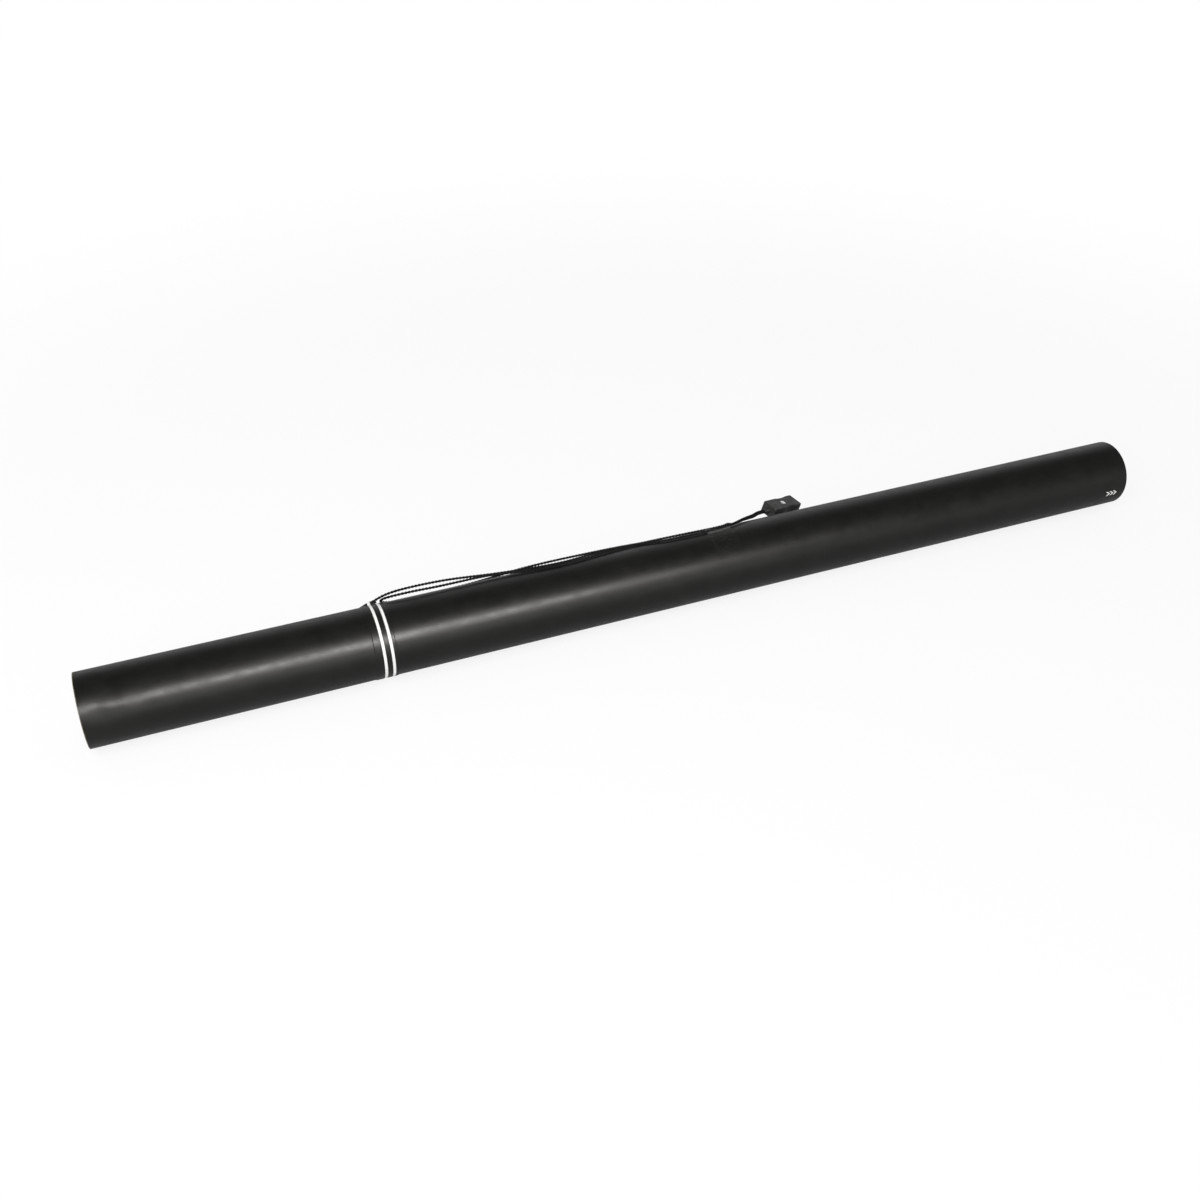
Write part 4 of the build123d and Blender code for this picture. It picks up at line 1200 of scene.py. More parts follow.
@dataclass
class TubeShell:
    """Board tubes, the printed paper on them and the joint band with its blister.

    Attributes:
        length: whole length of the tube.
        seam: where the base section ends and the barrel starts.
        radius: outside of the paper.
        paper_inner: inside of the paper.
        board: outside of the board.
        bore: inside of the board.
        band_start: where the band starts.
        band_end: where it ends.
        band_radius: outside of the band.
        band_lip: height of its edges over the paper.
        band_taper: how far from its edges it reaches its full radius.
        taper_steps: stations over that distance.
        band_steps: stations between the two.
        band_turns: steps round it.
        band_crisp: edges that bend more than this many degrees stay crisp.
        blister_around: angle of the blister's ridge.
        blister_places: stations of the blister along the tube.
        blister_widths: its width at each station.
        blister_rises: its height over the paper at each station.
        blister_foot: width over which it dies away, against its own.
        rim_ease: easing of the cut rims.
        butt_ease: easing of edges that butt against another piece.
    """

    length: float = 0.8
    seam: float = 0.193
    radius: float = 0.025
    paper_inner: float = 0.02465
    board: float = 0.0246
    bore: float = 0.023
    band_start: float = 0.184
    band_end: float = 0.199
    band_radius: float = 0.02535
    band_lip: float = 0.00008
    band_taper: float = 0.0004
    taper_steps: int = 6
    band_steps: int = 84
    band_turns: int = 420
    band_crisp: float = 50.0
    blister_around: float = 36.0
    blister_places: tuple[float, ...] = (0.184, 0.185, 0.1895, 0.1926, 0.1946)
    blister_widths: tuple[float, ...] = (0.0024, 0.0034, 0.0064, 0.0072, 0.0078)
    blister_rises: tuple[float, ...] = (0.0, 0.0002, 0.0019, 0.0024, 0.0)
    blister_foot: float = 1.3
    rim_ease: float = 0.00018
    butt_ease: float = 0.00001

    def build(self) -> None:
        """Makes and dresses the five pieces of the shell."""
        paper = (self.paper_inner, self.radius)
        board = (self.bore, self.board)
        behind = (self.rim_ease, self.butt_ease)
        ahead = (self.butt_ease, self.rim_ease)
        papers = {
            "base": tube_wall((0.0, self.band_start), paper, behind),
            "barrel": tube_wall((self.band_end, self.length), paper, ahead),
        }
        boards = {
            "base": tube_wall((0.0, self.seam), board, behind),
            "barrel": tube_wall((self.seam, self.length), board, ahead),
        }
        for end, outline in papers.items():
            wrap = lathe(f"{end}_wrap_paper", outline)
            take_over(wrap, Body.TUBE, WRAP_PAPER, "black_wrap", f"{end}_wrap")
        for end, outline in boards.items():
            take_over(lathe(f"{end}_board", outline), Body.TUBE, TUBE_BOARD, "board", f"{end}_tube")
        take_over(self.band(), Body.TUBE, BAND_PAPER, "striped_band", "joint_band")

    def band(self) -> bpy.types.Object:
        """Band with the blister raised on it.

        The outer line of a wall is carried round the axis. It starts a lip's height over the paper and rises
        by a quarter sine wave to its full radius. There it grows by the blister's rise at that station times
        half of one plus the cosine of the sideways distance, which falls to nothing a little outside the
        blister's width.

        Returns:
            The band.
        """
        rim = np.linspace(0.0, self.band_taper, self.taper_steps)
        full = (self.band_start + self.band_taper, self.band_end - self.band_taper)
        middle = np.linspace(*full, self.band_steps)
        outer = np.concatenate([self.band_start + rim[:-1], middle, self.band_end - rim[-2::-1]])
        along = np.concatenate([outer, outer[[-1, 0]]])
        edge = np.minimum(outer - self.band_start, self.band_end - outer)
        swell = np.sin(np.pi / 2 * np.clip(edge / self.band_taper, 0.0, 1.0))
        lip = self.radius + self.band_lip
        radius = np.concatenate([lip + (self.band_radius - lip) * swell, [self.paper_inner] * 2])
        around = np.linspace(0.0, 2 * np.pi, self.band_turns, endpoint=False)
        turn = np.angle(np.exp(1j * (around - math.radians(self.blister_around))))
        width = np.interp(along, self.blister_places, self.blister_widths)[:, None]
        rise = np.interp(along, self.blister_places, self.blister_rises)[:, None]
        aside = np.clip(2 * turn[None, :] * self.radius / (width * self.blister_foot), -1.0, 1.0)
        bump = rise * 0.5 * (1 + np.cos(np.pi * aside)) * (radius > self.radius)[:, None]
        points = AXIS.points(along[:, None], around[None, :], radius[:, None] + bump)
        faces = grid_faces(len(along), len(around), True, True).tolist()
        return make_piece("striped_joint_band", points, faces, self.band_crisp)


@dataclass
class FiringLead:
    """Twisted pair that leaves the blister, is folded in three runs and ends in the connector.

    Attributes:
        exit_place: where it leaves the tube: along, angle in degrees, lift of its middle off the paper.
        exit_slope: how steeply it comes out, in degrees.
        exit_run: its straight start.
        route: places that it goes by: along, angle in degrees, lift.
        boot_tip: where it enters the connector's boot.
        nose: direction of the connector.
        straight: its straight end.
        tube_radius: outside of the paper.
        diameter: across both wires.
        wire: diameter of one wire.
        sleeve: share by which a wire is thicker near the boot.
        sleeve_ramp: share of the untwisted length over which it becomes so.
        pitch: length of one twist.
        untwisted: length at the end where the wires no longer circle each other.
        spread: how much further apart they are there.
        smoothness: points of the line between two places of its route.
        step: distance between the points of a wire.
        sides: corners of a wire's section.
        crisp: edges that bend more than this many degrees stay crisp.
        line: points of the lead's middle, once it is built.
    """

    exit_place: Place = (0.1925, 36.0, 0.0017)
    exit_slope: float = 21.0
    exit_run: float = 0.0062
    route: tuple[Place, ...] = (
        (0.2062, 36.0, 0.0055), (0.216, 35.8, 0.0061), (0.23, 35.5, 0.0062), (0.246, 35.0, 0.0057),
        (0.261, 33.5, 0.0044), (0.276, 30.5, 0.0029), (0.291, 27.0, 0.002), (0.308, 22.0, 0.0013),
        (0.328, 18.5, 0.00105), (0.346, 28.0, 0.0011), (0.36, 34.0, 0.00115), (0.384, 35.0, 0.00115),
        (0.408, 31.0, 0.00105), (0.427, 26.0, 0.00105), (0.444, 21.5, 0.00105), (0.4535, 22.5, 0.00105),
        (0.459, 31.0, 0.00105), (0.4625, 42.0, 0.0011), (0.468, 51.0, 0.0011), (0.476, 57.0, 0.0011),
        (0.484, 62.0, 0.00115), (0.4885, 68.0, 0.00125),
        (0.49, 78.0, 0.0013), (0.4858, 89.0, 0.0013), (0.4785, 91.9, 0.00125), (0.469, 88.0, 0.00115),
        (0.456, 84.0, 0.00105), (0.438, 80.0, 0.00105), (0.421, 71.0, 0.0011), (0.406, 56.0, 0.0014),
        (0.391, 46.0, 0.0016), (0.372, 41.0, 0.0021), (0.345, 38.5, 0.0024), (0.318, 36.8, 0.0025),
        (0.298, 39.5, 0.002), (0.282, 48.0, 0.0012), (0.264, 55.5, 0.00105), (0.246, 59.0, 0.00105),
        (0.23, 60.5, 0.00105), (0.219, 61.0, 0.00105), (0.2095, 60.5, 0.0011), (0.2027, 55.0, 0.00115),
        (0.1984, 43.5, 0.00125), (0.2002, 30.2, 0.0027), (0.2085, 24.6, 0.0035), (0.221, 22.8, 0.00375),
        (0.236, 23.2, 0.0032), (0.251, 23.8, 0.0031), (0.266, 24.5, 0.0031), (0.281, 23.5, 0.0026),
        (0.3, 15.0, 0.0012), (0.326, 10.0, 0.00105), (0.3485, 15.5, 0.00105), (0.372, 24.5, 0.00105),
        (0.388, 26.0, 0.00105), (0.404, 14.0, 0.00105), (0.42, 11.5, 0.00105), (0.435, 11.0, 0.00105),
        (0.4465, 12.0, 0.00105), (0.4565, 15.0, 0.0013), (0.4645, 20.5, 0.0016),
        (0.4715, 28.5, 0.0019), (0.4785, 37.5, 0.0022), (0.485, 46.5, 0.0031),
    )
    boot_tip: Place = (0.0980904, 0.0281148, 0.0411684)
    nose: Place = (0.9219208, 0.3246596, -0.2113248)
    straight: float = 0.007
    tube_radius: float = 0.025
    diameter: float = 0.0018
    wire: float = 0.00102
    sleeve: float = 0.75
    sleeve_ramp: float = 0.65
    pitch: float = 0.0048
    untwisted: float = 0.046
    spread: float = 0.00022
    smoothness: int = 24
    step: float = 0.00045
    sides: int = 7
    crisp: float = 60.0
    line: np.ndarray = field(default_factory=lambda: np.zeros((0, 3)))

    def control_points(self) -> np.ndarray:
        """The route's control points, from the exit to the boot.

        Returns:
            Array of points.
        """
        places = np.array([self.exit_place, *self.route])
        points = AXIS.points(places[:, 0], np.radians(places[:, 1]), self.tube_radius + places[:, 2])
        slope = math.radians(self.exit_slope)
        turn = math.radians(self.exit_place[1])
        way = np.array([math.cos(slope), math.sin(slope) * math.sin(turn), math.sin(slope) * math.cos(turn)])
        tip = np.array(self.boot_tip)
        before = tip - np.array(self.nose) * self.straight
        return np.vstack([points[:1], points[:1] + way * self.exit_run, points[1:], before, tip])

    def spline(self) -> np.ndarray:
        """Points of the smooth NURBS line that the route's control points draw.

        Returns:
            Array of points, close together.
        """
        control = self.control_points()
        curve = bpy.data.curves.new("lead_route", "CURVE")
        curve.dimensions = "3D"
        curve.resolution_u = self.smoothness
        run = curve.splines.new("NURBS")
        run.points.add(len(control) - 1)
        run.points.foreach_set("co", np.column_stack([control, np.ones(len(control))]).ravel())
        run.order_u = 3
        run.use_endpoint_u = True
        run.resolution_u = self.smoothness
        holder = bpy.data.objects.new("lead_route", curve)
        mesh = bpy.data.meshes.new_from_object(holder)
        flat = np.empty(3 * len(mesh.vertices))
        mesh.vertices.foreach_get("co", flat)
        bpy.data.objects.remove(holder)
        bpy.data.curves.remove(curve)
        bpy.data.meshes.remove(mesh)
        return flat.reshape(-1, 3)

    def loosened(self) -> tuple[np.ndarray, float, np.ndarray]:
        """Where and how the twist ends.

        The twist stops at a half turn. From there the parting rises from 0 to 1 as a smooth step.

        Returns:
            Distance along the line, where the twist ends, and how far the wires have parted.
        """
        gaps = np.linalg.norm(np.diff(self.line, axis=0), axis=1)
        way = np.concatenate([[0.0], np.cumsum(gaps)])
        half = self.pitch / 2
        last = (math.floor((way[-1] - self.untwisted) / half) + 0.5) * half
        past = np.clip((way - last) / (self.sleeve_ramp * (way[-1] - last)), 0.0, 1.0)
        return way, last, past**2 * (3 - 2 * past)

    def thickness(self) -> np.ndarray:
        """Diameter of a wire along the line, greater where it is sleeved near the boot."""
        return self.wire * (1 + self.sleeve * self.loosened()[2])

    def wires(self) -> tuple[np.ndarray, np.ndarray]:
        """Middle lines of the two wires.

        Each wire circles the lead's line at a quarter of its diameter, once for every pitch. Towards the end
        the turning stops with one wire over the other, and they part a little.

        Returns:
            Two arrays of points.
        """
        way, last, parted = self.loosened()
        angle = 2 * np.pi * np.minimum(way, last) / self.pitch
        _, out, across = outward_frames(self.line)
        apart = (self.diameter / 4 + self.spread * parted)[:, None]
        swing = across * np.cos(angle)[:, None] + out * np.sin(angle)[:, None]
        return self.line + swing * apart, self.line - swing * apart

    def build(self, connector_pieces: Sequence[bpy.types.Object]) -> bpy.types.Object:
        """A circle of the wire's diameter is carried along each wire's line.

        Args:
            connector_pieces: what is on the lead's far end; not used.

        Returns:
            The lead.
        """
        self.line = resampled(self.spline(), self.step)
        turn = np.linspace(0.0, 2 * np.pi, self.sides, endpoint=False)[None, :, None]
        count = len(self.line)
        grids = []
        faces: list = []
        for first, wire in zip((0, count * self.sides), self.wires()):
            _, out, across = outward_frames(wire)
            ring = out[:, None] * np.cos(turn) + across[:, None] * np.sin(turn)
            grids.append(wire[:, None] + ring * self.thickness()[:, None, None] / 2)
            faces += (grid_faces(count, self.sides, False, True) + first).tolist()
            faces.append(list(range(first, first + self.sides)))
            faces.append(list(range(first + (count - 1) * self.sides, first + count * self.sides)))
        pair = make_piece("firing_lead_pair", np.concatenate(grids), faces, self.crisp)
        lead = take_over(pair, Body.TUBE, LEAD_SKIN, "lead", "firing_lead")
        return lead


@dataclass
class LeadTape:
    """Strip of clear tape that holds the lead's runs down on the tube.

    Attributes:
        start: where along the tube it starts.
        width: its width along the tube.
        front: angle of its near end, in degrees.
        back: angle of its far end.
        stations: points over its width.
        turns: points over its length.
        tube_radius: outside of the paper.
        paper_gap: gap to the paper.
        lead_radius: half of the lead's diameter.
        lead_gap: gap to the lead.
        margin: how far outside the film the lead still counts.
        shoulder: share of the lead's radius over which the film lies flat on it.
        slope: how steeply the film leaves the lead for the tube.
        rounds: how often its heights are evened out.
        thickness: the film's thickness.
        crisp: edges that bend more than this many degrees stay crisp.
    """

    start: float = 0.438
    width: float = 0.019
    front: float = -38.0
    back: float = 112.0
    stations: int = 40
    turns: int = 260
    tube_radius: float = 0.025
    paper_gap: float = 0.00003
    lead_radius: float = 0.0009
    lead_gap: float = 0.00012
    margin: float = 0.004
    shoulder: float = 0.7
    slope: float = 0.75
    rounds: int = 14
    thickness: float = 0.00012
    crisp: float = 50.0

    def build(self, lead_line: np.ndarray) -> bpy.types.Object:
        """Drapes the film over the lead's line.

        At each point of a grid on the tube the film has the greatest height that any point of the lead asks
        for: the lead's top, less the slope times how far to the side that point is. The heights are then
        evened out with their neighbours, and never fall below the lead or the paper.

        Args:
            lead_line: points of the lead's middle.

        Returns:
            The tape.
        """
        end = self.start + self.width
        along = np.linspace(self.start, end, self.stations)
        around = np.radians(np.linspace(self.front, self.back, self.turns))
        at, turn, radius = AXIS.places(lead_line)
        near = (at > self.start - self.margin) & (at < end + self.margin)
        at, turn, radius = at[near], turn[near], radius[near]
        sideways = np.hypot(along[:, None, None] - at, self.tube_radius * (around[None, :, None] - turn))
        drop = self.slope * np.maximum(sideways - self.lead_radius * self.shoulder, 0.0)
        needs = np.max(radius + self.lead_radius + self.lead_gap - drop, axis=-1)
        floor = np.maximum(needs, self.tube_radius + self.paper_gap)
        height = floor.copy()
        for _ in range(self.rounds):
            padded = np.pad(height, 1, mode="edge")
            height = (padded[1:-1, :-2] + padded[1:-1, 2:] + padded[:-2, 1:-1] + padded[2:, 1:-1]) / 4
            height = np.maximum(height, floor)
        rows = np.concatenate([along, along[::-1]])
        film = np.concatenate([height + self.thickness, height[::-1]])
        points = AXIS.points(rows[:, None], around[None, :], film)
        faces = grid_faces(len(rows), len(around), True, False).tolist()
        ends = np.arange(len(rows)) * len(around)
        faces += [ends.tolist(), (ends + len(around) - 1).tolist()]
        tape = make_piece("clear_lead_tape", points, faces, self.crisp)
        return take_over(tape, Body.TUBE, TAPE_FILM, "clear_tape", "lead_tape")


@dataclass
class Connector:
    """Small two-part connector at the lead's end.

    Attributes:
        case_nodes: nodes of its case and boot.
        screw_node: its screw.
        contact_node: its two socket contacts.
    """

    case_nodes: tuple[str, ...] = ("connector_body", "connector_cover", "connector_boot")
    screw_node: str = "connector_screw"
    contact_node: str = "connector_contacts"

    def build(self) -> list[bpy.types.Object]:
        """Dresses the connector's nodes.

        Returns:
            Its pieces.
        """
        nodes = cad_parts
        CASE_PLASTIC.dress(*[nodes[name] for name in self.case_nodes])
        SCREW_ZINC.dress(nodes[self.screw_node])
        CONTACT_BRASS.dress(nodes[self.contact_node])
        names = [*self.case_nodes, self.screw_node, self.contact_node]
        for name in names:
            log.info("%s: dressed", name)
        return [nodes[name] for name in names]


@dataclass
class ReleaseHead:
    """Gas cylinder, valve, claws and firing board inside the base: solids that only need their finishes.

    Attributes:
        finishes: the finish of each node.
    """

    finishes: dict[str, Finish] = field(
        default_factory=lambda: {
            "base_plug": INNER_PLASTIC,
            "gas_cylinder": CYLINDER_METAL,
            "rear_centring_ring": RING_BOARD,
            "front_centring_ring": RING_BOARD,
            "bulkhead": INNER_PLASTIC,
            "neck_seal": SEAL_RUBBER,
            "valve_body": VALVE_BRASS,
            "valve_piston": BRIGHT_STEEL,
            "piston_seals": SEAL_RUBBER,
            "upper_claw": CLAW_STEEL,
            "lower_claw": CLAW_STEEL,
            "claw_pins": BRIGHT_STEEL,
            "upper_tie": TIE_NYLON,
            "lower_tie": TIE_NYLON,
            "firing_board": FIRING_LAMINATE,
            "board_screws": BRIGHT_STEEL,
            "heater": HEATER_BODY,
            "inner_lead": LEAD_SKIN,
            "joining_sleeve": RING_BOARD,
            "gas_screen": INNER_PLASTIC,
        }
    )

    def dress(self) -> None:
        """Gives each node its finish."""
        for name, finish in self.finishes.items():
            finish.dress(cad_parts[name])
            log.info("%s: dressed in %s", name, finish.name)


@dataclass
class Charge:
    """What the gas drives out: foam wad, confetti, foam pad and the mouth's disc.

    Attributes:
        radius: radius of the foam and the disc.
        turns: steps round them.
        wad: where the wad starts and ends.
        pad: where the pad starts and ends.
        foam_ease: easing of the foam's edges.
        foam_waist: how far the foam's side is drawn in half-way.
        side_steps: stations on the foam's side.
        edge_steps: stations on each of its edges.
        face_steps: stations on each of its faces.
        disc: where the disc starts and ends.
        disc_ease: easing of the disc's edges.
        axis_reach: points nearer to the axis than this are put on it.
        layers: number of confetti layers.
        layers_start: where the first layer starts.
        layer_pitch: distance from one layer to the next.
        slip_length: length of a slip.
        slip_width: width of a slip.
        slip_pitch: distance from slip to slip in a stack.
        slip_thickness: thickness of a slip.
        slip_stations: stations along a slip.
        slip_turn: greatest angle of a slip in its stack, in radians.
        slip_shift: greatest shift of a slip in its stack.
        slip_wave: share of the gap between slips that their waves take up.
        slip_crisp: edges that bend more than this many degrees stay crisp.
        stack_reach: how far the stacks reach from the axis.
        side_inner: where the side stacks start.
        seed: start of the random numbers.
    """

    radius: float = 0.0227
    turns: int = 128
    wad: Span = (0.2263, 0.2663)
    pad: Span = (0.7653, 0.7893)
    foam_ease: float = 0.0022
    foam_waist: float = 0.0003
    side_steps: int = 24
    edge_steps: int = 8
    face_steps: int = 5
    disc: Span = (0.7897, 0.7912)
    disc_ease: float = 0.0002
    axis_reach: float = 0.0003
    layers: int = 9
    layers_start: float = 0.2667
    layer_pitch: float = 0.0554
    slip_length: float = 0.0546
    slip_width: float = 0.0196
    slip_pitch: float = 0.00042
    slip_thickness: float = 0.00026
    slip_stations: int = 4
    slip_turn: float = 0.009
    slip_shift: float = 0.0003
    slip_wave: float = 0.4
    slip_crisp: float = 30.0
    stack_reach: float = 0.020379
    side_inner: float = 0.0104
    seed: int = 11

    def build(self) -> None:
        """Makes the foam pieces, the slips of every layer and the disc."""
        for node, run in (("wad", self.wad), ("top_pad", self.pad)):
            plug = take_over(self.foam(f"{node}_foam", run), Body.CHARGE, PLUG_FOAM, "foam", node)
        for layer in range(self.layers):
            slips = self.slips(f"slips_of_layer_{layer + 1}", layer)
            take_over(slips, Body.CHARGE, BLUE_TISSUE, "blue_tissue", f"confetti_layer_{layer + 1}")
        take_over(self.mouth_disc(), Body.CHARGE, PRESSED_BOARD, "board", "mouth_disc")

    def mouth_disc(self) -> bpy.types.Object:
        """Board disc with eased edges.

        Its outline's points near the axis are put on it.

        Returns:
            The disc.
        """
        start, end = self.disc
        corners = [(start, 0.0), (start, self.radius), (end, self.radius), (end, 0.0)]
        outline = rounded(corners, self.disc_ease)
        outline[:, 1] = np.where(outline[:, 1] < self.axis_reach, 0.0, outline[:, 1])
        return lathe("mouth_board_disc", outline, self.turns)

    def foam(self, name: str, run: Span) -> bpy.types.Object:
        """Die-cut foam plug.

        A disc with eased edges whose side is drawn in half-way between them by a parabola, as a cutter
        leaves it.

        Args:
            name: the piece's name.
            run: where it starts and ends.

        Returns:
            The plug.
        """
        start, end = run
        side = np.linspace(start + self.foam_ease, end - self.foam_ease, self.side_steps)
        middle = 2 * (side - start) / (end - start) - 1
        wall = np.column_stack([side, self.radius - self.foam_waist * (1 - middle**2)])
        t = np.linspace(0.0, np.pi / 2, self.edge_steps)
        inward = self.foam_ease * (1 - np.cos(t))
        edge = self.radius - self.foam_ease
        rise = edge + self.foam_ease * np.sin(t)
        back = np.column_stack([start + inward, rise])
        front = np.column_stack([end - inward[::-1], rise[::-1]])
        face = np.linspace(0.0, edge, self.face_steps, endpoint=False)
        near = np.column_stack([np.full(self.face_steps, start), face])
        far = np.column_stack([np.full(self.face_steps, end), face[::-1]])
        return lathe(name, np.vstack([near, back, wall[1:-1], front, far]), self.turns)

    def slips(self, name: str, layer: int) -> bpy.types.Object:
        """One layer of slips: a flat stack in the middle and an upright one at each side.

        A slip is a thin box of a few stations along its length. Each station is shifted by the slip's own
        random offset, turned by its random angle and lifted by a shallow wave, all as whole arrays.

        Args:
            name: the piece's name.
            layer: the layer's number from the wad.

        Returns:
            The layer.
        """
        chance = np.random.default_rng(self.seed + layer)
        half = self.slip_pitch / 2
        middle = np.arange(-self.stack_reach + half, self.stack_reach - half, self.slip_pitch)
        aside = np.arange(self.side_inner + half, self.stack_reach, self.slip_pitch)
        level = np.concatenate([middle, aside, -aside])
        upright = np.concatenate([np.zeros(len(middle)), np.ones(2 * len(aside))]).astype(bool)[:, None, None]
        each = (len(level), 1, 1)
        station = np.linspace(-0.5, 0.5, self.slip_stations)[None, :, None] * self.slip_length
        corner = np.array([[-0.5, -0.5], [0.5, -0.5], [0.5, 0.5], [-0.5, 0.5]])
        across = corner[None, None, :, 0] * self.slip_width
        thick = corner[None, None, :, 1] * self.slip_thickness
        turn = chance.uniform(-self.slip_turn, self.slip_turn, each)
        shift_long = chance.uniform(-self.slip_shift, self.slip_shift, each)
        shift_wide = chance.uniform(-self.slip_shift, self.slip_shift, each)
        wave = chance.uniform(-1.0, 1.0, each) * (self.slip_pitch - self.slip_thickness) * self.slip_wave
        bow = wave * np.cos(2 * np.pi * station / self.slip_length)
        length = station - turn * across + shift_long
        width = across + turn * station + shift_wide
        height = thick + bow + level[:, None, None]
        length, width, height = np.broadcast_arrays(length, width, height)
        y = np.where(upright, height, width)
        z = np.where(upright, width, height)
        middle_along = self.layers_start + (layer + 0.5) * self.layer_pitch
        points = np.stack([AXIS.base + middle_along + length, y, AXIS.height + z], axis=-1)
        size = self.slip_stations * len(corner)
        first_end = np.arange(len(corner))
        ends = np.array([first_end, first_end + size - len(corner)])
        box = np.concatenate([grid_faces(self.slip_stations, len(corner), False, True), ends])
        faces = (box[None] + size * np.arange(len(level))[:, None, None]).reshape(-1, 4)
        piece = make_piece(name, points, faces.tolist(), self.slip_crisp)
        shade = piece.data.attributes.new(BLUE_TISSUE.shade_name, "FLOAT", "POINT")
        shades = np.repeat(chance.uniform(0.0, 1.0, len(level)), size)
        shade.data.foreach_set("value", shades.astype(np.float32))
        return piece


@dataclass
class Studio:
    """White floor, soft light and the camera.

    Attributes:
        floor_size: half of the floor's side.
        floor_paint: level of its paint.
        floor_glow: share of plain white in what is seen of the floor near the tube.
        floor_fade: distance from the tube's middle at which that share starts to rise, and where it is one.
        floor_shine: the same share for what glossy surfaces reflect, against the camera's.
        floor_mirror: level of the glow in reflections.
        camera_place: the camera's place.
        camera_pitch: how far it looks down, in degrees.
        camera_yaw: how far it looks to the right of straight ahead, in degrees.
        lens: its focal length in millimetres.
        sensor: width of its sensor in millimetres.
        clip: nearest and farthest distance that it sees.
        strip_place: place of the narrow light that draws the long highlight.
        strip_size: its length and width.
        strip_power: its power in watts.
        strip_colour: its colour.
        soft_place: place of the large soft light.
        soft_size: its side.
        soft_power: its power in watts.
        sky: level of the light from all round.
        wall_span: how far up the bright wall starts to dim, and where it is dim.
        wall_levels: its level at these two heights.
        wall_rise: how much higher the bright wall reaches behind the tube.
        back_span: where that rise starts and ends, from left to right.
        back_soft: half of its soft edge.
        front_glow: how much brighter the low wall in front of the tube is, except towards the mouth.
        front_span: where that glow starts to fade, from left to right, and where it ends.
        front_height: how far up it ends.
    """

    floor_size: float = 9.0
    floor_paint: float = 0.9
    floor_glow: float = 0.84
    floor_fade: Span = (0.45, 1.1)
    floor_shine: float = 0.6
    floor_mirror: float = 0.32
    camera_place: Place = (-0.32421, -0.68693, 0.55067)
    camera_pitch: float = 35.81
    camera_yaw: float = 21.96
    lens: float = 38.096
    sensor: float = 36.0
    clip: Span = (0.01, 50.0)
    strip_place: Place = (-0.05, -1.03, 0.815)
    strip_size: tuple[float, float] = (0.78, 0.05)
    strip_power: float = 36.5
    strip_colour: Colour = (1.0, 0.965, 0.935)
    soft_place: Place = (-0.95, -1.0, 1.25)
    soft_size: float = 1.6
    soft_power: float = 34.0
    sky: float = 0.45
    wall_span: Span = (0.05, 0.6)
    wall_levels: Span = (0.9, 0.08)
    wall_rise: float = 0.5
    back_span: Span = (0.0, 0.65)
    back_soft: float = 0.2
    front_glow: float = 2.8
    front_span: Span = (0.2, 0.56)
    front_height: float = 0.5

    def build(self) -> None:
        """Makes the floor, the lights, the surroundings and the camera."""
        self.floor()
        axis = (0.0, 0.0, AXIS.height)
        strip = self.lamp("strip_light", self.strip_place, self.strip_size, self.strip_power, axis)
        strip.data.color = self.strip_colour
        strip.visible_diffuse = False
        square = (self.soft_size, self.soft_size)
        soft = self.lamp("soft_light", self.soft_place, square, self.soft_power, (0.0, 0.0, 0.0))
        soft.visible_glossy = False
        self.surroundings()
        self.camera()
        bpy.context.scene.view_settings.view_transform = "Standard"

    def floor(self) -> None:
        """Pale floor that shows white to the camera and in reflections but keeps the shadow.

        What is seen of it is a mix of paint and plain glow. The share of the glow rises with the distance
        from the tube, so that the floor passes into the white round it.
        """
        side = self.floor_size
        points = np.array([[-side, -side, 0.0], [side, -side, 0.0], [side, side, 0.0], [-side, side, 0.0]])
        piece = make_piece("studio_floor", points, [[0, 1, 2, 3]])
        made = bpy.data.materials.new("studio_floor")
        made.use_nodes = True
        made.node_tree.nodes.clear()
        graph = Graph(made.node_tree)
        path = graph.node("ShaderNodeLightPath").outputs
        shine = graph.times(path["Is Glossy Ray"], self.floor_shine)
        through = graph.math("MAXIMUM", shine, path["Is Transmission Ray"])
        seen = graph.math("MAXIMUM", path["Is Camera Ray"], through)
        level = graph.span(path["Is Glossy Ray"], 0.0, 1.0, 1.0, self.floor_mirror)
        paint = graph.node("ShaderNodeBsdfDiffuse", {"Color": (self.floor_paint,) * 3}).outputs[0]
        glow = graph.node("ShaderNodeEmission", {"Color": WHITE, "Strength": level}).outputs[0]
        place = graph.node("ShaderNodeTexCoord").outputs["Object"]
        away = graph.node("ShaderNodeVectorMath", {0: place}, operation="LENGTH").outputs["Value"]
        cover = graph.times(seen, graph.span(away, *self.floor_fade, self.floor_glow, 1.0))
        mixed = graph.node("ShaderNodeMixShader", {0: cover, 1: paint, 2: glow}).outputs[0]
        graph.node("ShaderNodeOutputMaterial", {"Surface": mixed})
        piece.data.materials.append(made)

    def lamp(
        self, name: str, place: Place, size: tuple[float, float], power: float, aim: Place
    ) -> bpy.types.Object:
        """Rectangular light that faces a point, its long side level.

        Args:
            name: the light's name.
            place: where it is.
            size: its length and width.
            power: its power in watts.
            aim: the point that it faces.

        Returns:
            The light.
        """
        data = bpy.data.lights.new(name, "AREA")
        data.shape = "RECTANGLE"
        data.size = size[0]
        data.size_y = size[1]
        data.energy = power
        lamp = bpy.data.objects.new(name, data)
        lamp.location = place
        back = np.array(place) - np.array(aim)
        level = math.atan2(math.hypot(back[0], back[1]), back[2])
        lamp.rotation_euler = Euler((level, 0.0, math.atan2(back[0], -back[1])))
        bpy.context.scene.collection.objects.link(lamp)
        return lamp

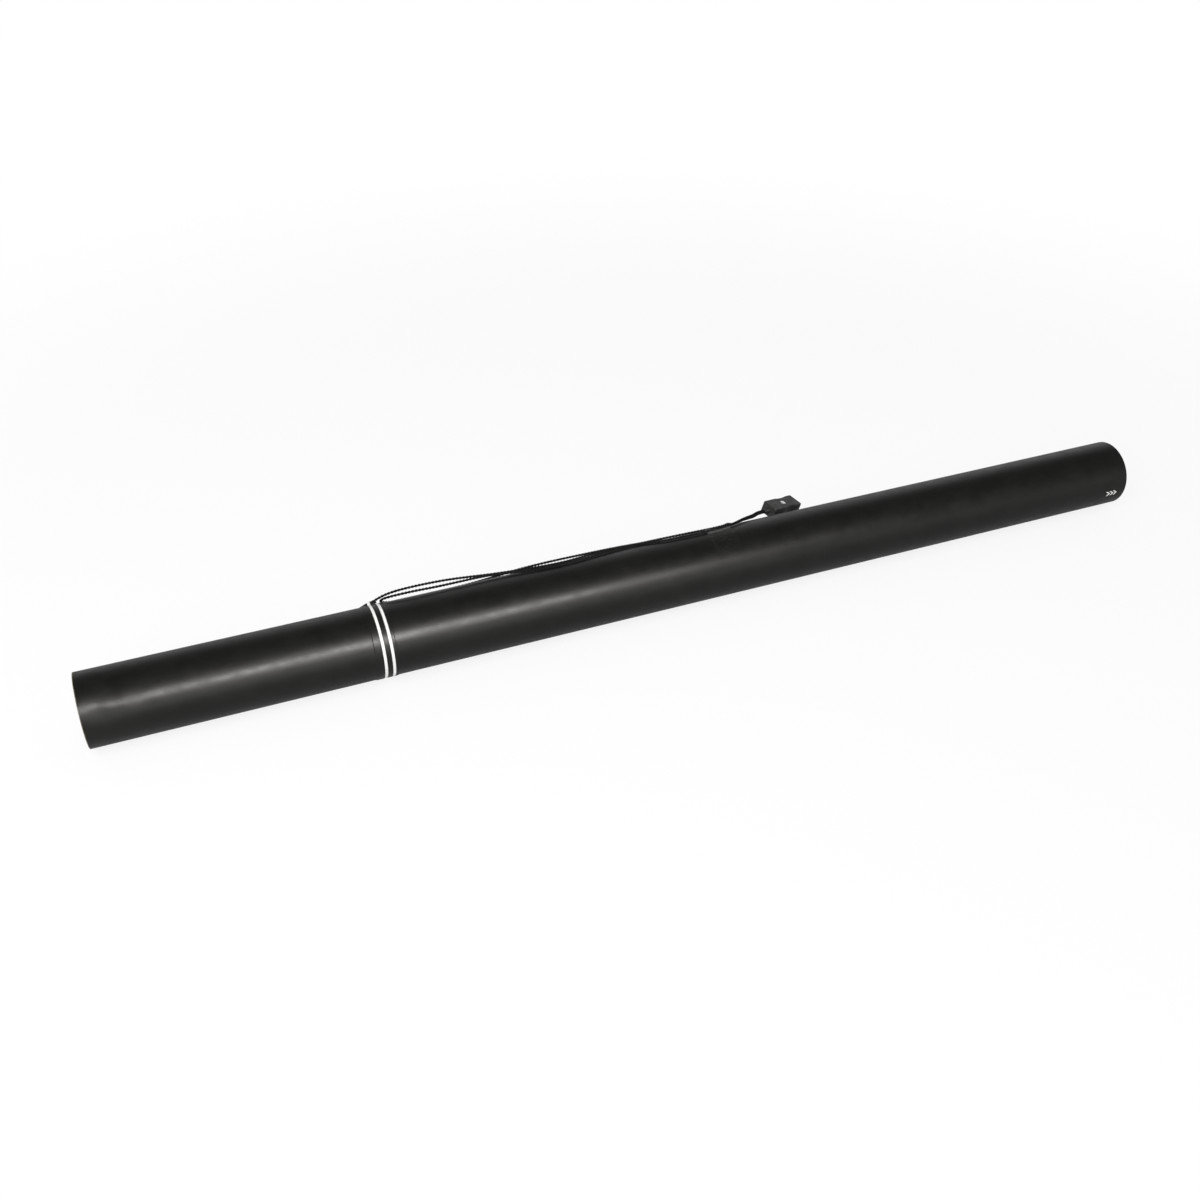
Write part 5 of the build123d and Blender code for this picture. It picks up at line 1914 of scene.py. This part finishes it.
    def surroundings(self) -> None:
        """World that is white to the camera, an even dim light to diffuse rays and a wall to glossy ones.

        The wall is bright low down and dims upwards. It reaches higher behind the tube. In front of it a
        low glow is added, which fades towards the mouth.
        """
        world = bpy.data.worlds.new("studio")
        world.use_nodes = True
        world.node_tree.nodes.clear()
        graph = Graph(world.node_tree)
        path = graph.node("ShaderNodeLightPath").outputs
        axes = graph.axes(graph.node("ShaderNodeTexCoord").outputs["Generated"])
        behind = graph.math("MAXIMUM", axes["Y"], 0.0)
        back = graph.times(graph.band(axes["X"], *self.back_span, self.back_soft), behind)
        up = graph.less(axes["Z"], graph.times(back, self.wall_rise))
        wall = graph.span(up, *self.wall_span, *self.wall_levels)
        ahead = graph.math("MAXIMUM", graph.times(axes["Y"], -1.0), 0.0)
        front = graph.times(ahead, graph.span(axes["X"], *self.front_span, 1.0, 0.0))
        low = graph.span(axes["Z"], 0.0, self.front_height, self.front_glow, 0.0)
        wall = graph.math("MULTIPLY_ADD", front, low, wall)
        level = graph.blend(path["Is Glossy Ray"], (self.sky,) * 3, wall)
        room = graph.node("ShaderNodeBackground", {"Color": level, "Strength": 1.0}).outputs[0]
        white = graph.node("ShaderNodeBackground", {"Color": WHITE, "Strength": 1.0}).outputs[0]
        mixed = graph.node("ShaderNodeMixShader", {0: path["Is Camera Ray"], 1: room, 2: white}).outputs[0]
        graph.node("ShaderNodeOutputWorld", {"Surface": mixed})
        bpy.context.scene.world = world

    def camera(self) -> None:
        """Camera at the photograph's viewpoint."""
        data = bpy.data.cameras.new("camera")
        data.lens = self.lens
        data.sensor_width = self.sensor
        data.clip_start = self.clip[0]
        data.clip_end = self.clip[1]
        camera = bpy.data.objects.new("camera", data)
        camera.location = self.camera_place
        pitch = math.radians(90.0 - self.camera_pitch)
        camera.rotation_euler = Euler((pitch, 0.0, -math.radians(self.camera_yaw)))
        bpy.context.scene.collection.objects.link(camera)
        bpy.context.scene.camera = camera


def main() -> None:
    """Builds the cannon's looks in order."""
    logging.basicConfig(level=logging.INFO, format="%(message)s")
    TubeShell().build()
    ends = Connector().build()
    lead = FiringLead()
    lead.build(ends)
    LeadTape().build(lead.line)
    ReleaseHead().dress()
    Charge().build()
    Studio().build()
    bpy.context.view_layer.update()


if __name__ == "__main__":
    main()
